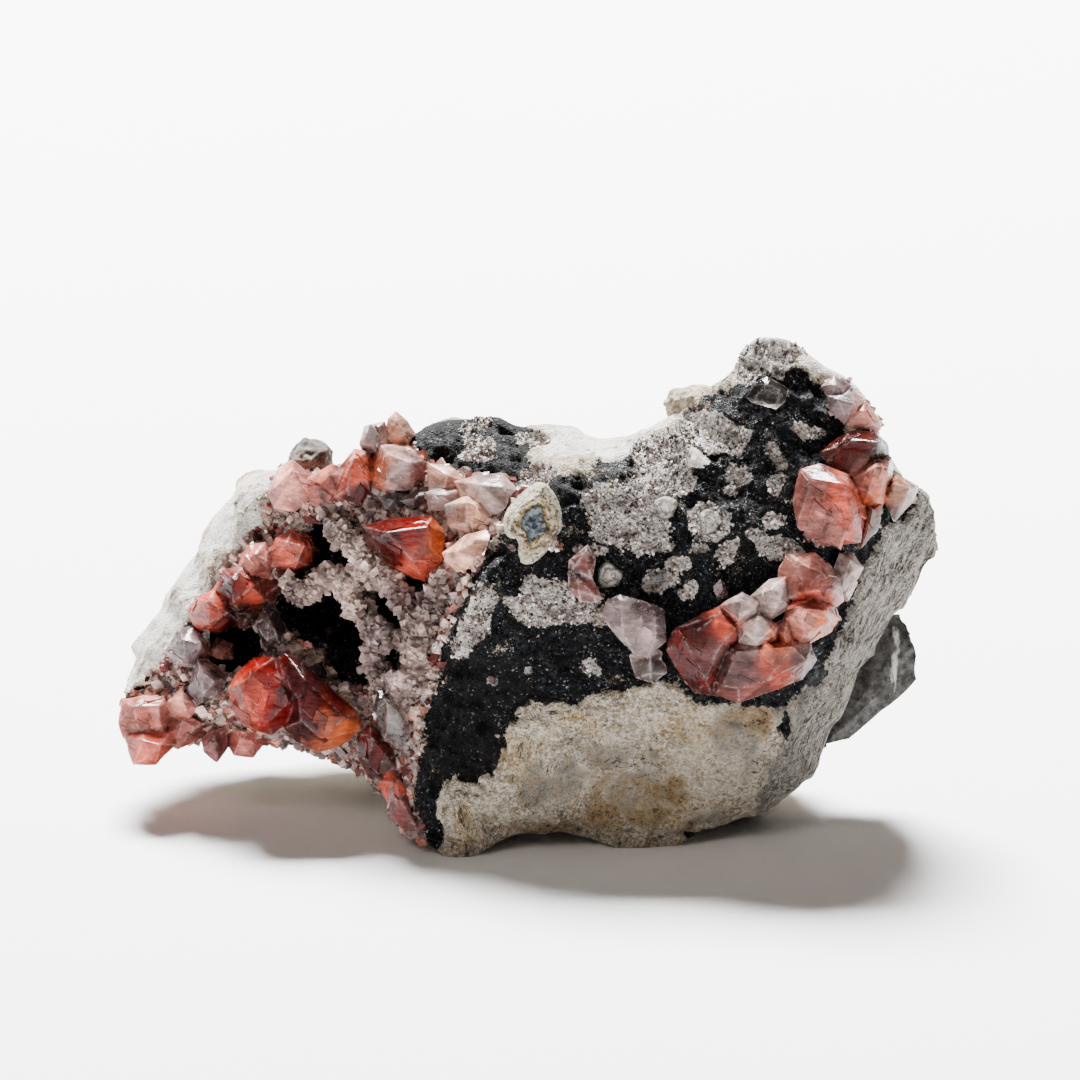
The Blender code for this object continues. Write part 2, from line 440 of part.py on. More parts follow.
# Crystals by group. Each crystal: the corners of its outline in the show plane (u, v), the
# corners of its front faces (u, v, height over the rock) and how far the outline stands off.
CRYSTAL_GROUPS = {
    "upper_rim_crystals": [
        ([(29, 40.6), (31.7, 42.6), (34.4, 42.7), (35.6, 41.6), (35.8, 40.4), (34.4, 39.2),
          (32.5, 38), (30.8, 38.6), (29.2, 39.4)],
         [(32.2, 42, 2.6), (34.8, 41.8, 2.8), (32, 39, 1.6)], 1),
        ([(32.3, 37.9), (34.5, 40.1), (36.1, 40.2), (36.1, 38.6), (35.3, 35.7), (33.4, 35.2)],
         [(34.6, 39.4, 4.6), (35.8, 39.2, 4), (33.8, 36.8, 4.4), (34.8, 36, 3.4)], 1.4),
        ([(27.1, 38.9), (29, 39.4), (31.7, 38.4), (32.7, 36.6), (33.3, 34.7), (32.9, 31.9),
          (28.6, 31.5), (26.7, 33.1), (26.5, 35.8)],
         [(28.2, 38.2, 2.8), (31.4, 37.6, 3.8), (32.3, 34, 3.4), (30.8, 32.2, 2.6),
          (27.8, 33, 2.2)], 1),
        ([(35.4, 36.9), (36.8, 38.3), (38.8, 37.3), (38.3, 36), (36.3, 33.7), (35.2, 35.2)],
         [(36.6, 37.6, 3.2), (38, 37.1, 2.6), (36.2, 35.2, 2.2)], 0.8),
        ([(33.2, 35), (35.3, 35.6), (34.7, 33.2), (33.2, 31.4)],
         [(34, 34.6, 2.4), (33.8, 32.8, 1.8)], 0.8),
    ],
    "lower_rim_crystals": [
        ([(25, 26), (25, 29.2), (26, 30.4), (28.5, 30.5), (29.7, 29.3), (30.8, 28.1), (31.2, 26),
          (30, 25.2), (27.5, 25.4)],
         [(26.7, 29.8, 3.2), (29.2, 28.8, 3.4), (27.2, 26.8, 4), (30.4, 27, 2.8)], 1.2),
        ([(30.6, 30.7), (32.2, 30.5), (33.1, 29.2), (32.1, 26.6), (31, 26.8), (30.4, 29)],
         [(32, 30, 2.6), (32.5, 29, 2.2), (31.2, 27.5, 2.6)], 0.8),
        ([(25.3, 23.8), (26, 25.6), (28.2, 26.3), (30.2, 25.5), (30.7, 24.2), (29.8, 22.8),
          (27.9, 21.9), (26.4, 21.5)],
         [(26.8, 25.2, 5.2), (29.4, 25, 4.8), (27.6, 22.6, 4.4), (29.8, 23.8, 4)], 1.8),
        ([(13.8, 21), (14.6, 23), (17, 24.3), (19.1, 25.4), (21, 23.6), (20.5, 21.8), (19.2, 20.4),
          (18.2, 16.7), (16.5, 16.9), (15.2, 18.6)],
         [(18.9, 24.7, 3.4), (20.5, 23.2, 3.6), (15.4, 22, 2.6), (17.6, 17.8, 2.6),
          (18.6, 20.8, 3.6)], 1),
        ([(19.1, 25.4), (21.2, 26.6), (22.7, 25.7), (22.8, 24.2), (20.9, 23.3)],
         [(21.1, 26.1, 4), (22.4, 25.2, 4.2), (20.8, 23.9, 4)], 1.6),
        ([(20.8, 23.6), (22.7, 24.7), (24.8, 23.3), (24.4, 21.8), (22.7, 21.2), (21.1, 21.9)],
         [(22.7, 24.1, 5), (24.1, 23, 4.4), (22.6, 21.8, 4.4), (21.4, 22.8, 4.2)], 1.8),
        ([(18.7, 20.4), (19.8, 21.5), (22.7, 21.6), (26, 22.1), (27.8, 21.6), (28.5, 20),
          (27, 18.1), (23.5, 16.9), (21, 15.9), (18.6, 16.6), (18.2, 18.2)],
         [(20.6, 20.9, 4.6), (26.2, 21.4, 5), (27.6, 20, 4), (20.8, 17.2, 3.4), (19.2, 17.4, 3.2),
          (23.8, 18, 4)], 1.4),
        ([(22, 26.2), (23.9, 27.8), (25.5, 28.2), (25.8, 25.4), (23.8, 24), (22.5, 24.8)],
         [(24, 27, 3.2), (25, 26, 3.4)], 1.2),
        ([(24.2, 23.4), (25.8, 24.2), (26.6, 21), (25, 20.8)],
         [(25.3, 22.6, 3.8), (25.6, 21.4, 3.8)], 1.4),
    ],
    "pale_plate_crystals": [
        ([(7.7, 25.6), (9, 26.3), (11.3, 25.7), (13.2, 25), (13.4, 22), (11.6, 20.5), (10.3, 20.9),
          (8.9, 22.5), (7.7, 23.8)],
         [(9.1, 25.9, 1.9), (12.5, 24.8, 2.1), (12.5, 22, 2), (9.2, 23, 1.8)], 1.3),
        ([(10.1, 20.4), (11.6, 21.2), (13.4, 20.8), (13.5, 18.8), (12.2, 17.9), (10.7, 18.4)],
         [(12, 20.5, 1.4), (12, 18.6, 1.2)], 0.8),
    ],
    "curved_plate_crystal": [
        ([(4.1, 29.9), (5.7, 31.3), (6.4, 30), (6, 28.1), (4.7, 28), (4, 28.7)],
         [(5.6, 30.9, 1.8), (6, 28.8, 1.8), (4.5, 29.4, 1.8)], 1.3),
        ([(4, 28.8), (5.8, 28.8), (7, 26.3), (6.4, 25.9), (5.1, 26), (4.1, 27.2)],
         [(4.8, 28.2, 1.8), (6.4, 26.4, 1.8), (4.8, 26.8, 1.8)], 1.3),
    ],
    "outlined_plate_crystal": [
        ([(21.9, 46.3), (22.6, 47.5), (23.7, 48.1), (25.5, 47.2), (25.4, 46), (24.5, 45.3),
          (22.5, 45.9)],
         [(23.7, 47.6, 1.9), (25, 47, 1.9), (24.5, 45.8, 1.8), (22.6, 46.4, 1.8)], 1.4),
    ],
    "lilac_rim_crystals": [
        ([(29.4, 47.4), (30.6, 48.2), (32, 47.5), (31.8, 46.4), (30.2, 46.1)],
         [(30.6, 47.6, 1.8), (31.4, 46.9, 1.8)], 0.9),
        ([(30.1, 46.3), (32, 46.8), (33.3, 45.8), (32.8, 44.7), (31.5, 43.9), (30.3, 45.1)],
         [(30.8, 46.1, 2.2), (32.5, 45.7, 2.2), (31.6, 44.6, 1.9)], 0.9),
        ([(32, 44.8), (33.6, 45.7), (34.8, 44.1), (35, 43.2), (33.2, 43), (31.6, 43.3)],
         [(33.4, 45, 2.4), (34.2, 43.8, 2.4), (32.5, 43.6, 2)], 0.9),
    ],
    "ring_nodule": [
        ([(-2.7, 33.9), (-2.3, 35.7), (-0.8, 37.3), (0.9, 38), (2.3, 36.5), (3, 34.8), (3.2, 33),
          (2.1, 31.1), (0.3, 29.5), (-1, 29.9), (-2, 31.9)],
         [(-2.0, 33.9, 1.0), (-0.6, 36.6, 1.0), (0.8, 37.0, 1.1), (2.4, 34.6, 1.3),
          (2.4, 33, 1.3), (1.5, 31.3, 1.2), (-0.8, 30.9, 1.0)], 0.4),
    ],
    "top_left_crystals": [
        ([(-26.2, 36.8), (-25.4, 39), (-24, 39.9), (-22.2, 38.4), (-21.7, 36), (-23.8, 35),
          (-25.8, 35.4)],
         [(-24, 39, 3.2), (-23, 37.4, 3.4), (-25, 36.8, 2.6)], 1),
        ([(-22.2, 38.2), (-20, 39.5), (-18.6, 38.8), (-18.9, 36.4), (-20.8, 35.7), (-22, 36)],
         [(-20.2, 38.6, 2.8), (-19.6, 37, 2.6), (-21.4, 37.2, 2.6)], 1),
        ([(-19.6, 36.4), (-19, 39.2), (-17.8, 41), (-16.3, 40.8), (-15.7, 38), (-15.9, 36),
          (-17.8, 35.3)],
         [(-17.7, 40.2, 4), (-16.4, 38, 4.4), (-18.5, 37.2, 4), (-17.2, 36, 3.4)], 1.2),
        ([(-17, 41.8), (-16.6, 43.3), (-14.8, 43.8), (-14.2, 42), (-15.6, 40.4), (-16.6, 40.5)],
         [(-15.8, 43, 2.8), (-15.4, 41.4, 3)], 1),
        ([(-14.6, 41.9), (-14.2, 44.1), (-13.5, 44.8), (-12.6, 43.9), (-11.7, 42.7), (-12.3, 41.5),
          (-13.5, 41.1)],
         [(-13.4, 43.9, 2.8), (-12.7, 42.6, 3)], 1),
        ([(-16.1, 39.2), (-15, 41.4), (-12.5, 41.4), (-11, 40), (-10.6, 38.1), (-12.2, 36.8),
          (-14.2, 37), (-15.8, 37.4)],
         [(-14.2, 40.6, 4), (-12, 39.8, 4.4), (-11.6, 38.2, 3.4), (-14.2, 38, 3.8)], 1),
    ],
    "pale_peach_crystals": [
        ([(-10.2, 39.6), (-7.8, 39), (-6.4, 37.8), (-8.4, 36.7), (-10, 36.9)],
         [(-8.4, 38.6, 2.2), (-8.6, 37.4, 2.2)], 0.9),
        ([(-7.4, 37.8), (-5.6, 38.2), (-3, 38.6), (-1.4, 37), (-2.2, 34.9), (-4.2, 34),
          (-6.2, 35)],
         [(-5, 37.6, 2.6), (-2.6, 37.4, 2.8), (-3.4, 35.2, 2.2), (-5.6, 35.8, 2.6)], 1),
        ([(-8.4, 35.4), (-6.2, 36.4), (-4, 35.5), (-3.9, 33.9), (-6, 32.8), (-8, 33.6)],
         [(-6.4, 35.8, 2.4), (-4.6, 34.8, 2.2), (-6.4, 33.6, 2.2)], 1),
        ([(-10.3, 36.6), (-9, 37.2), (-6.8, 37), (-8, 35.2), (-10, 35.1)],
         [(-9, 36.6, 1.8), (-8.2, 35.8, 1.8)], 0.7),
    ],
    "dark_leaf_crystals": [
        ([(-13, 36), (-11.6, 36.7), (-10.6, 36.6), (-10.6, 35.8), (-11.8, 35.3)],
         [(-11.6, 36.2, 1.6)], 0.6),
        ([(-15, 36.3), (-13.8, 36.7), (-12.6, 36.5), (-13, 35.2), (-14.4, 35.2)],
         [(-13.8, 36, 1.6)], 0.6),
    ],
    "amber_crystal": [
        ([(-16.8, 33.3), (-13.7, 34), (-10, 34.3), (-8.8, 32.6), (-9, 30), (-10.6, 27.9),
          (-12.5, 28.7), (-14.6, 30), (-16.4, 31.4)],
         [(-14.4, 32.8, 5), (-10.4, 33.3, 5.4), (-11.8, 29.8, 4.6), (-9.6, 31.2, 4.6),
          (-15.4, 32, 3.6)], 2),
    ],
    "salmon_plate_crystal": [
        ([(-8.6, 30.7), (-6.4, 32.3), (-4.5, 32.9), (-4, 31.9), (-4.6, 29.9), (-7.2, 28.9),
          (-8.1, 29.8)],
         [(-7.4, 30.8, 2.8), (-5.2, 32.2, 2.8), (-4.8, 30.8, 2.4), (-7, 29.6, 2.4)], 1.4),
    ],
    "left_rim_crystals": [
        ([(-26.4, 30.7), (-25.5, 32), (-24, 32.8), (-22.4, 32.2), (-21.4, 30.8), (-22, 29.4),
          (-24, 28.9), (-25.9, 29.4)],
         [(-24.6, 31.8, 3.6), (-22.7, 31.4, 3.8), (-23.4, 29.8, 3)], 1),
        ([(-29.6, 28.9), (-28.5, 31.2), (-26.8, 31.6), (-25.7, 30), (-26.5, 28.3), (-28.5, 27.8)],
         [(-27.8, 30.6, 3.2), (-26.6, 29.8, 3.4), (-28.2, 28.8, 3.2)], 1),
        ([(-31.9, 26.8), (-30.8, 28.8), (-28.9, 29.2), (-27.1, 28), (-26.9, 25.9), (-29, 24.7),
          (-31, 24.9)],
         [(-30, 28.2, 4), (-28, 27.2, 4.4), (-30, 25.6, 4)], 1.2),
        ([(-34.3, 24.4), (-33.5, 26), (-31.7, 26.9), (-29.7, 25.5), (-29.3, 23.7), (-31.5, 22.7),
          (-33.5, 23.1)],
         [(-32.6, 25.8, 4), (-30.4, 24.6, 4.2), (-32.4, 23.6, 3.8)], 1.2),
        ([(-30, 24.6), (-28.2, 25.6), (-27.2, 25), (-28, 23.6), (-29, 23.2)],
         [(-28.4, 24.6, 3)], 0.9),
        ([(-27.4, 26), (-26.4, 28), (-24, 29.4), (-22.7, 28.8), (-24, 27), (-26, 25.6)],
         [(-26, 27, 2.2), (-23.8, 28.4, 2.2)], 0.7),
    ],
    "lilac_left_crystals": [
        ([(-36.7, 20.8), (-35.4, 22.8), (-33.8, 23.2), (-32.5, 22.2), (-32.4, 20.4), (-34, 19.3),
          (-35.8, 19.6)],
         [(-35, 22, 3.2), (-33.2, 21.4, 3.4), (-34.8, 20.2, 3)], 1),
        ([(-32.7, 21), (-31.6, 21.9), (-30.2, 21.4), (-30.1, 20), (-31.5, 19.5), (-32.6, 20)],
         [(-31.8, 21.2, 2.6), (-30.6, 20.6, 2.6), (-31.8, 20.1, 2.6)], 1.2),
        ([(-34.4, 16.8), (-33.4, 19.8), (-31.8, 19.2), (-30.8, 18), (-31.6, 16.2), (-33.4, 15.6)],
         [(-33.2, 18.8, 3), (-31.8, 17.8, 3.2), (-33, 16.4, 2.8)], 1),
    ],
    "grey_oval_crystal": [
        ([(-27.5, 23.6), (-26.8, 24.9), (-25.6, 24.8), (-24.8, 23), (-25.1, 21.2), (-26.6, 21)],
         [(-26.4, 24.2, 2.8), (-25.5, 22.6, 3), (-26.5, 21.8, 2.8)], 1.4),
    ],
    "red_gem_crystals": [
        ([(-30.2, 17), (-29.2, 18.6), (-27.8, 19.9), (-25.8, 20), (-24.5, 18), (-23.1, 16.1),
          (-24, 14.3), (-26, 12.6), (-28.3, 13.3), (-29.5, 14.7)],
         [(-27.2, 19.2, 6.4), (-25, 17.6, 6.8), (-24.2, 15.6, 6.4), (-26.4, 13.6, 6),
          (-28.8, 15.4, 5.8), (-29, 17.6, 5.8)], 3.6),
        ([(-25.4, 18.7), (-24.6, 20.5), (-23, 19.7), (-21.2, 17.9), (-17.4, 14.6), (-17.2, 13.1),
          (-19, 11.6), (-21.4, 10.9), (-23.5, 11.9), (-24.6, 13.2)],
         [(-22.6, 18, 5), (-18.6, 14.2, 5.2), (-20.8, 12, 4.8), (-23, 13.8, 5.4),
          (-23.2, 16, 5.4)], 2.4),
    ],
    "left_corner_crystals": [
        ([(-41.3, 13.6), (-41.1, 15.7), (-39, 16.1), (-37, 15.9), (-36.4, 14.4), (-37, 12.4),
          (-39, 11.9), (-40.9, 12.1)],
         [(-40, 15.3, 3.6), (-37.4, 15.3, 4.2), (-37.2, 13.2, 4.2), (-39.6, 12.8, 3.6)], 1.6),
        ([(-40.8, 12.2), (-39, 12.8), (-36.6, 12.4), (-35.9, 11.4), (-37.8, 9.6), (-39.9, 9.5)],
         [(-39, 11.8, 3.4), (-37.2, 11.4, 3.6), (-38.4, 10.2, 2.8)], 1.2),
        ([(-37, 13.8), (-34.6, 14.6), (-32.6, 13.8), (-33.1, 12.2), (-35.4, 11.1), (-37, 11.6)],
         [(-35, 13.8, 3.6), (-33.8, 13, 3.6), (-35.6, 12, 3.4)], 1.2),
        ([(-36.4, 15.6), (-35, 17), (-33.4, 15.4), (-34.4, 14.2), (-36.2, 14.2)],
         [(-35, 15.8, 3), (-34.6, 14.8, 3)], 1),
    ],
    "lower_left_crystals": [
        ([(-32.9, 11.8), (-32, 13), (-30.8, 12.7), (-30.6, 11.2), (-31.6, 9.8), (-32.7, 10.8)],
         [(-31.8, 12.2, 3.4), (-31.4, 11, 3.2)], 1.4),
        ([(-30.8, 12), (-29.6, 12.8), (-27.8, 12.8), (-26.8, 11.8), (-28, 10.3), (-29.7, 10.5)],
         [(-29.2, 12, 3.2), (-27.8, 11.6, 3.2)], 1.2),
    ],
    "pointed_clear_crystal": [
        ([(-15.4, 14.8), (-15.1, 16.3), (-13.4, 15.7), (-12.6, 14.4), (-12.2, 12.2), (-13.2, 11.2),
          (-14.6, 12.2)],
         [(-14.4, 15.8, 4.2), (-13.2, 14.8, 4.2), (-12.8, 12.4, 3.4), (-14.2, 13, 3.6)], 1.8),
    ],
    "lower_edge_crystals": [
        ([(-17.1, 12.2), (-16, 13.6), (-15, 11.8), (-13.3, 10.3), (-13.2, 8.4), (-14.4, 7),
          (-16.2, 8.4), (-17.2, 10.4)],
         [(-16, 12.4, 2.4), (-14.2, 10, 2.8), (-15.8, 9.4, 2.4)], 0.9),
        ([(-14.1, 6.8), (-13.3, 8.2), (-12.3, 6.6), (-11.4, 4.5), (-10.9, 2.3), (-12.5, 2.9),
          (-13.8, 4.5)],
         [(-13, 6, 2.4), (-12, 4, 2.2)], 0.9),
        ([(-15.4, 7.8), (-13.8, 9), (-12.8, 7.4), (-13, 5.8), (-14.2, 6)],
         [(-13.8, 7.6, 2.2)], 0.8),
    ],
}

GROUP_LOOKS = {                  # colour, roughness, transmission
    "upper_rim_crystals": ((0.55, 0.13, 0.09), 0.15, 0.5),
    "lower_rim_crystals": ((0.52, 0.14, 0.11), 0.15, 0.5),
    "pale_plate_crystals": ((0.62, 0.48, 0.46), 0.2, 0.6),
    "curved_plate_crystal": ((0.42, 0.22, 0.19), 0.25, 0.4),
    "outlined_plate_crystal": ((0.5, 0.48, 0.46), 0.15, 0.8),
    "lilac_rim_crystals": ((0.55, 0.45, 0.48), 0.2, 0.5),
    "ring_nodule": ((0.55, 0.48, 0.36), 0.7, 0.0),
    "top_left_crystals": ((0.6, 0.25, 0.18), 0.2, 0.5),
    "pale_peach_crystals": ((0.72, 0.45, 0.4), 0.25, 0.4),
    "dark_leaf_crystals": ((0.2, 0.14, 0.14), 0.2, 0.3),
    "amber_crystal": ((0.5, 0.1, 0.06), 0.12, 0.6),
    "salmon_plate_crystal": ((0.75, 0.36, 0.28), 0.2, 0.4),
    "left_rim_crystals": ((0.55, 0.18, 0.15), 0.2, 0.5),
    "lilac_left_crystals": ((0.5, 0.38, 0.38), 0.15, 0.6),
    "grey_oval_crystal": ((0.35, 0.25, 0.25), 0.15, 0.6),
    "red_gem_crystals": ((0.6, 0.05, 0.03), 0.1, 0.6),
    "left_corner_crystals": ((0.65, 0.3, 0.26), 0.2, 0.5),
    "lower_left_crystals": ((0.5, 0.22, 0.2), 0.2, 0.5),
    "pointed_clear_crystal": ((0.75, 0.72, 0.7), 0.08, 0.8),
    "lower_edge_crystals": ((0.5, 0.2, 0.18), 0.2, 0.5),
}

# Lumps that grew on the rock: u, v, half-width, half-height, height over the face.
FACE_LUMPS = [
    (13.3, 41.0, 1.9, 1.5, 0.9), (17.4, 43.4, 1.6, 1.3, 1.0), (13.6, 35.3, 1.2, 1.2, 1.0),
    (18.0, 33.9, 1.4, 1.2, 1.0), (7.9, 28.4, 1.3, 1.4, 1.1), (24.3, 32.4, 3.2, 1.1, 0.9),
    (9.4, 33.2, 2.0, 1.0, 1.0), (3.2, 25.4, 1.8, 1.5, 0.8), (-5.8, 23.8, 1.4, 2.6, 0.7),
    (22.6, 49.8, 1.5, 1.0, 0.8), (20.4, 38.9, 1.2, 1.2, 0.6), (24.8, 40.6, 1.0, 1.0, 0.6),
    (11.3, 28.2, 1.6, 1.2, 0.8),
]

# The knob at the top of the left lobe, the beige lump behind the saddle (u, v, w, radii).
SILHOUETTE_LUMPS = [
    (-22.3, 40.3, -26.0, 2.2, 1.7, 2.4), (16.4, 46.0, -19.0, 2.6, 1.6, 2.6),
]

# The dark slab that stands behind the right rim (u, v, w).
BACK_SLAB = [
    (37.3, 24.6, -17.0), (38.6, 22.8, -16.0), (39.3, 20.2, -16.5), (39.1, 17.9, -17.5),
    (36.8, 15.9, -17.5), (34.0, 13.6, -17.0), (32.2, 11.8, -16.0), (29.3, 10.8, -14.0),
    (30.0, 22.0, -16.0), (31.0, 24.0, -24.0), (37.6, 21.5, -24.0), (36.0, 15.5, -25.0),
    (30.0, 12.5, -24.0),
]

# Druse across the hollow of the left lobe: strings of small crystals (u, v, height over the
# level that the lobe's face would have without its hollows).
DRUSE_STRINGS = [
    [(-25.0, 27.6, 0.6), (-22.8, 26.0, 0.0), (-20.8, 28.6, -0.6), (-18.6, 28.2, -0.4)],
    [(-20.6, 33.6, 0.6), (-17.6, 31.6, 0.2), (-16.2, 29.8, 0.0), (-14.8, 28.2, 0.0),
     (-13.4, 26.6, -0.2), (-12.2, 24.6, 0.0), (-10.8, 22.4, 0.8)],
    [(-16.2, 29.8, 0.0), (-18.6, 28.2, -0.4), (-18.4, 25.4, -0.6), (-16.6, 23.6, -0.4),
     (-14.6, 22.4, 0.2), (-12.4, 21.4, 0.6), (-10.8, 22.4, 0.8)],
    [(-8.9, 28.4, 0.9), (-9.6, 26.0, 0.9), (-10.8, 22.4, 0.8), (-11.6, 20.0, 0.8),
     (-11.9, 17.6, 0.8), (-13.0, 15.6, 0.8)],
    [(-14.6, 22.4, 0.2), (-16.0, 19.4, -0.4), (-14.2, 17.8, 0.2), (-11.9, 17.6, 0.8)],
]
DRUSE_STEP = 2.15                # spacing of the crystals along a string
DRUSE_RADIUS = 1.9


def rhomb(centre, radius, draw):
    """A small rhombohedral crystal, turned at random: a cube stretched along one diagonal."""
    corners = np.array(list(np.ndindex(2, 2, 2))) * 2.0 - 1.0
    diagonal = corners.sum(axis=1, keepdims=True) / 3.0
    corners = (corners + 0.35 * diagonal) * radius / math.sqrt(3.0)
    turn, _ = np.linalg.qr(draw.normal(size=(3, 3)))
    spots = np.array(centre) + corners @ turn
    return hull_bmesh(show_to_world(*spots.T))


def druse_meshes():
    draw = np.random.default_rng(7)
    meshes = []
    for string in DRUSE_STRINGS:
        string = np.array(string, float)
        string[:, 2] += 0.5
        runs = np.linalg.norm(np.diff(string[:, :2], axis=0), axis=1)
        reach = np.append(0.0, np.cumsum(runs))
        for spot in np.arange(0.0, reach[-1] + 0.1, DRUSE_STEP):
            u, v, height = (np.interp(spot, reach, string[:, k]) for k in range(3))
            radius = DRUSE_RADIUS * draw.uniform(0.85, 1.15)
            spot_depth = float(left_face(u, v)) + height
            meshes.append(rhomb((u, v, spot_depth), radius, draw))
    return meshes


def swollen_copy(solid, workshop):
    """A solid's skin moved outwards by the gap, to cut what touches it clear of it."""
    copy = bpy.data.objects.new(solid.name + "_swollen", solid.data.copy())
    workshop.objects.link(copy)
    count = len(copy.data.vertices)
    places, normals = np.empty(count * 3), np.empty(count * 3)
    copy.data.vertices.foreach_get("co", places)
    copy.data.vertices.foreach_get("normal", normals)
    copy.data.vertices.foreach_set("co", places + normals * GAP * MM)
    copy.hide_render = True
    copy.display_type = "WIRE"
    return copy


def build():
    clear_scene()
    specimen = new_collection("rhodochrosite_on_matrix")
    workshop = new_collection("cutters")

    rock = rock_bmesh(ROCK_COLUMNS, ROCK_FRONT_ROWS, ROCK_BACK_ROWS)
    draw = np.random.default_rng(21)
    lumps = [face_lump(*lump, draw) for lump in FACE_LUMPS]
    lumps += [rough_lump(lump[:3], lump[3:], draw, 24) for lump in SILHOUETTE_LUMPS]
    slab = hull_bmesh(show_to_world(*np.array(BACK_SLAB, float).T))
    matrix = union_of("matrix", [rock, slab] + lumps, specimen, workshop)
    keep_largest_body(matrix)
    matrix.data.materials.append(make_material("rock", (0.55, 0.5, 0.43), 0.85))

    cutters = [swollen_copy(matrix, workshop)]
    for name, crystals in CRYSTAL_GROUPS.items():
        meshes = [hull_bmesh(crystal_points(*crystal)) for crystal in crystals]
        whole = union_of(name + "_whole", meshes, workshop, workshop)
        group = cut_clear_of(whole, cutters, name, specimen)
        group.data.materials.append(make_material(name, *GROUP_LOOKS[name]))
        cutters.append(swollen_copy(group, workshop))

    whole = union_of("druse_whole", druse_meshes(), workshop, workshop)
    druse = cut_clear_of(whole, cutters, "vug_druse", specimen)
    druse.data.materials.append(make_material("druse", (0.6, 0.5, 0.47), 0.4))
    for cutter in cutters:
        bpy.data.objects.remove(cutter, do_unlink=True)


build()
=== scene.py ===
# %% [markdown]
# # A rhodochrosite specimen on its rock
# A broken piece of vein rock in two lobes. Its show face wears a sparkling black skin of manganese
# oxide, and along the rims stand red and pink rhodochrosite crystals. The left lobe is hollow, with
# a crust of tiny crystals across it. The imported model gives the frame: where the rock and each
# group of crystals are. This file dresses them.

# %% Load the frame and measure it
import math

import bmesh
import bpy
import numpy as np
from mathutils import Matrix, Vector


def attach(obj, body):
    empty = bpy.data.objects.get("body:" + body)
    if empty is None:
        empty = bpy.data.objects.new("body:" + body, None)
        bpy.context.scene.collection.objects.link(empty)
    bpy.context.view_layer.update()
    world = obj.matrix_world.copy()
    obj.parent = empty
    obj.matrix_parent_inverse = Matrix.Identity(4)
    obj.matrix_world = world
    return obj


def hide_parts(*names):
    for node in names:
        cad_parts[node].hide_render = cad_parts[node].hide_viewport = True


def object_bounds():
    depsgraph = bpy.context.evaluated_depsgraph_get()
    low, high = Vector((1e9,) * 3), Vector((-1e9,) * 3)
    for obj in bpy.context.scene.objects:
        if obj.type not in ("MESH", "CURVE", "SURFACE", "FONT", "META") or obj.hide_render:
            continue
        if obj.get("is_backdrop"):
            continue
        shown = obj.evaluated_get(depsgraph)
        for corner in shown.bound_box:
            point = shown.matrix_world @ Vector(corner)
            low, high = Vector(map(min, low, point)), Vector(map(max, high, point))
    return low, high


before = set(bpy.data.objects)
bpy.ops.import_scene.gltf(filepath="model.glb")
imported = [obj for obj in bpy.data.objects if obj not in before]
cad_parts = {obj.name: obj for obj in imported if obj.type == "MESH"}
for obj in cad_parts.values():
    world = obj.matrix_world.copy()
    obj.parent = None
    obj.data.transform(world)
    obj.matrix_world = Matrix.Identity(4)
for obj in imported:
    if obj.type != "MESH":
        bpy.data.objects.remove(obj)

MM = 0.001
cad_low, cad_high = (np.array(corner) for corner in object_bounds())
print("nodes:", len(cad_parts), "size in mm:", np.round((cad_high - cad_low) / MM, 1))

# %% [markdown]
# ## The show plane
# The specimen leans back a little, so its face is easiest to describe in a plane that leans with
# it: u to the right, v up the plane, w out of it, all in millimetres. Every place below is given
# that way, and one small function turns it into metres in the part's own frame. A second function
# goes the other way, to find where a point of a crystal lies on the face. A tilted empty as a
# parent could do the same, but finished pieces have to sit at the origin, unturned.

# %% Show plane to part frame, and back
SHOW_LEAN = math.radians(15)
CENTRE_X, CENTRE_Y, FLOOR_Z = -0.2, 23.7, -1.0
LEAN_SIN, LEAN_COS = math.sin(SHOW_LEAN), math.cos(SHOW_LEAN)


def to_world(points):
    """Show-plane millimetres (u, v, w) as metres: a turn about the x axis and a shift."""
    u, v, w = np.moveaxis(np.asarray(points, float), -1, 0)
    x = u - CENTRE_X
    y = v * LEAN_SIN - w * LEAN_COS - CENTRE_Y
    z = v * LEAN_COS + w * LEAN_SIN - FLOOR_Z
    return np.stack([x, y, z], axis=-1) * MM


def to_show(world):
    """The same turn backwards: metres to show-plane millimetres."""
    x, y, z = np.moveaxis(np.asarray(world, float) / MM, -1, 0)
    y, z = y + CENTRE_Y, z + FLOOR_Z
    return np.stack([x + CENTRE_X, y * LEAN_SIN + z * LEAN_COS, z * LEAN_SIN - y * LEAN_COS], axis=-1)


print("round trip:", np.round(to_show(to_world([10.0, 20.0, -5.0])), 6))

# %% [markdown]
# ## Camera, floor and light
# The piece stands on a plain pale floor. One soft lamp shines from above and behind and throws the
# shadow forward, and a weak one and an even, slightly warm sky fill in. Most of the light on the
# show face comes up from the pale floor. An orthographic camera would show no perspective at all;
# a long lens from two metres shows the little that a real one does. Camera and lamps come first,
# because every finish is judged in their light.

# %% Camera at 15 degrees above the floor
VIEW_DISTANCE = 2.0
VIEW_WIDTH = 0.108
view_centre = to_world([1.0, 32.0, 0.0])
camera_data = bpy.data.cameras.new("camera")
camera_data.sensor_width = 36.0
camera_data.lens = camera_data.sensor_width * VIEW_DISTANCE / VIEW_WIDTH
camera_data.clip_end = 20.0
camera = bpy.data.objects.new("camera", camera_data)
camera.location = view_centre + VIEW_DISTANCE * np.array([0.0, -LEAN_COS, LEAN_SIN])
camera.rotation_euler = (math.radians(90) - SHOW_LEAN, 0.0, 0.0)
bpy.context.scene.collection.objects.link(camera)
bpy.context.scene.camera = camera
print("lens in mm:", round(camera_data.lens))


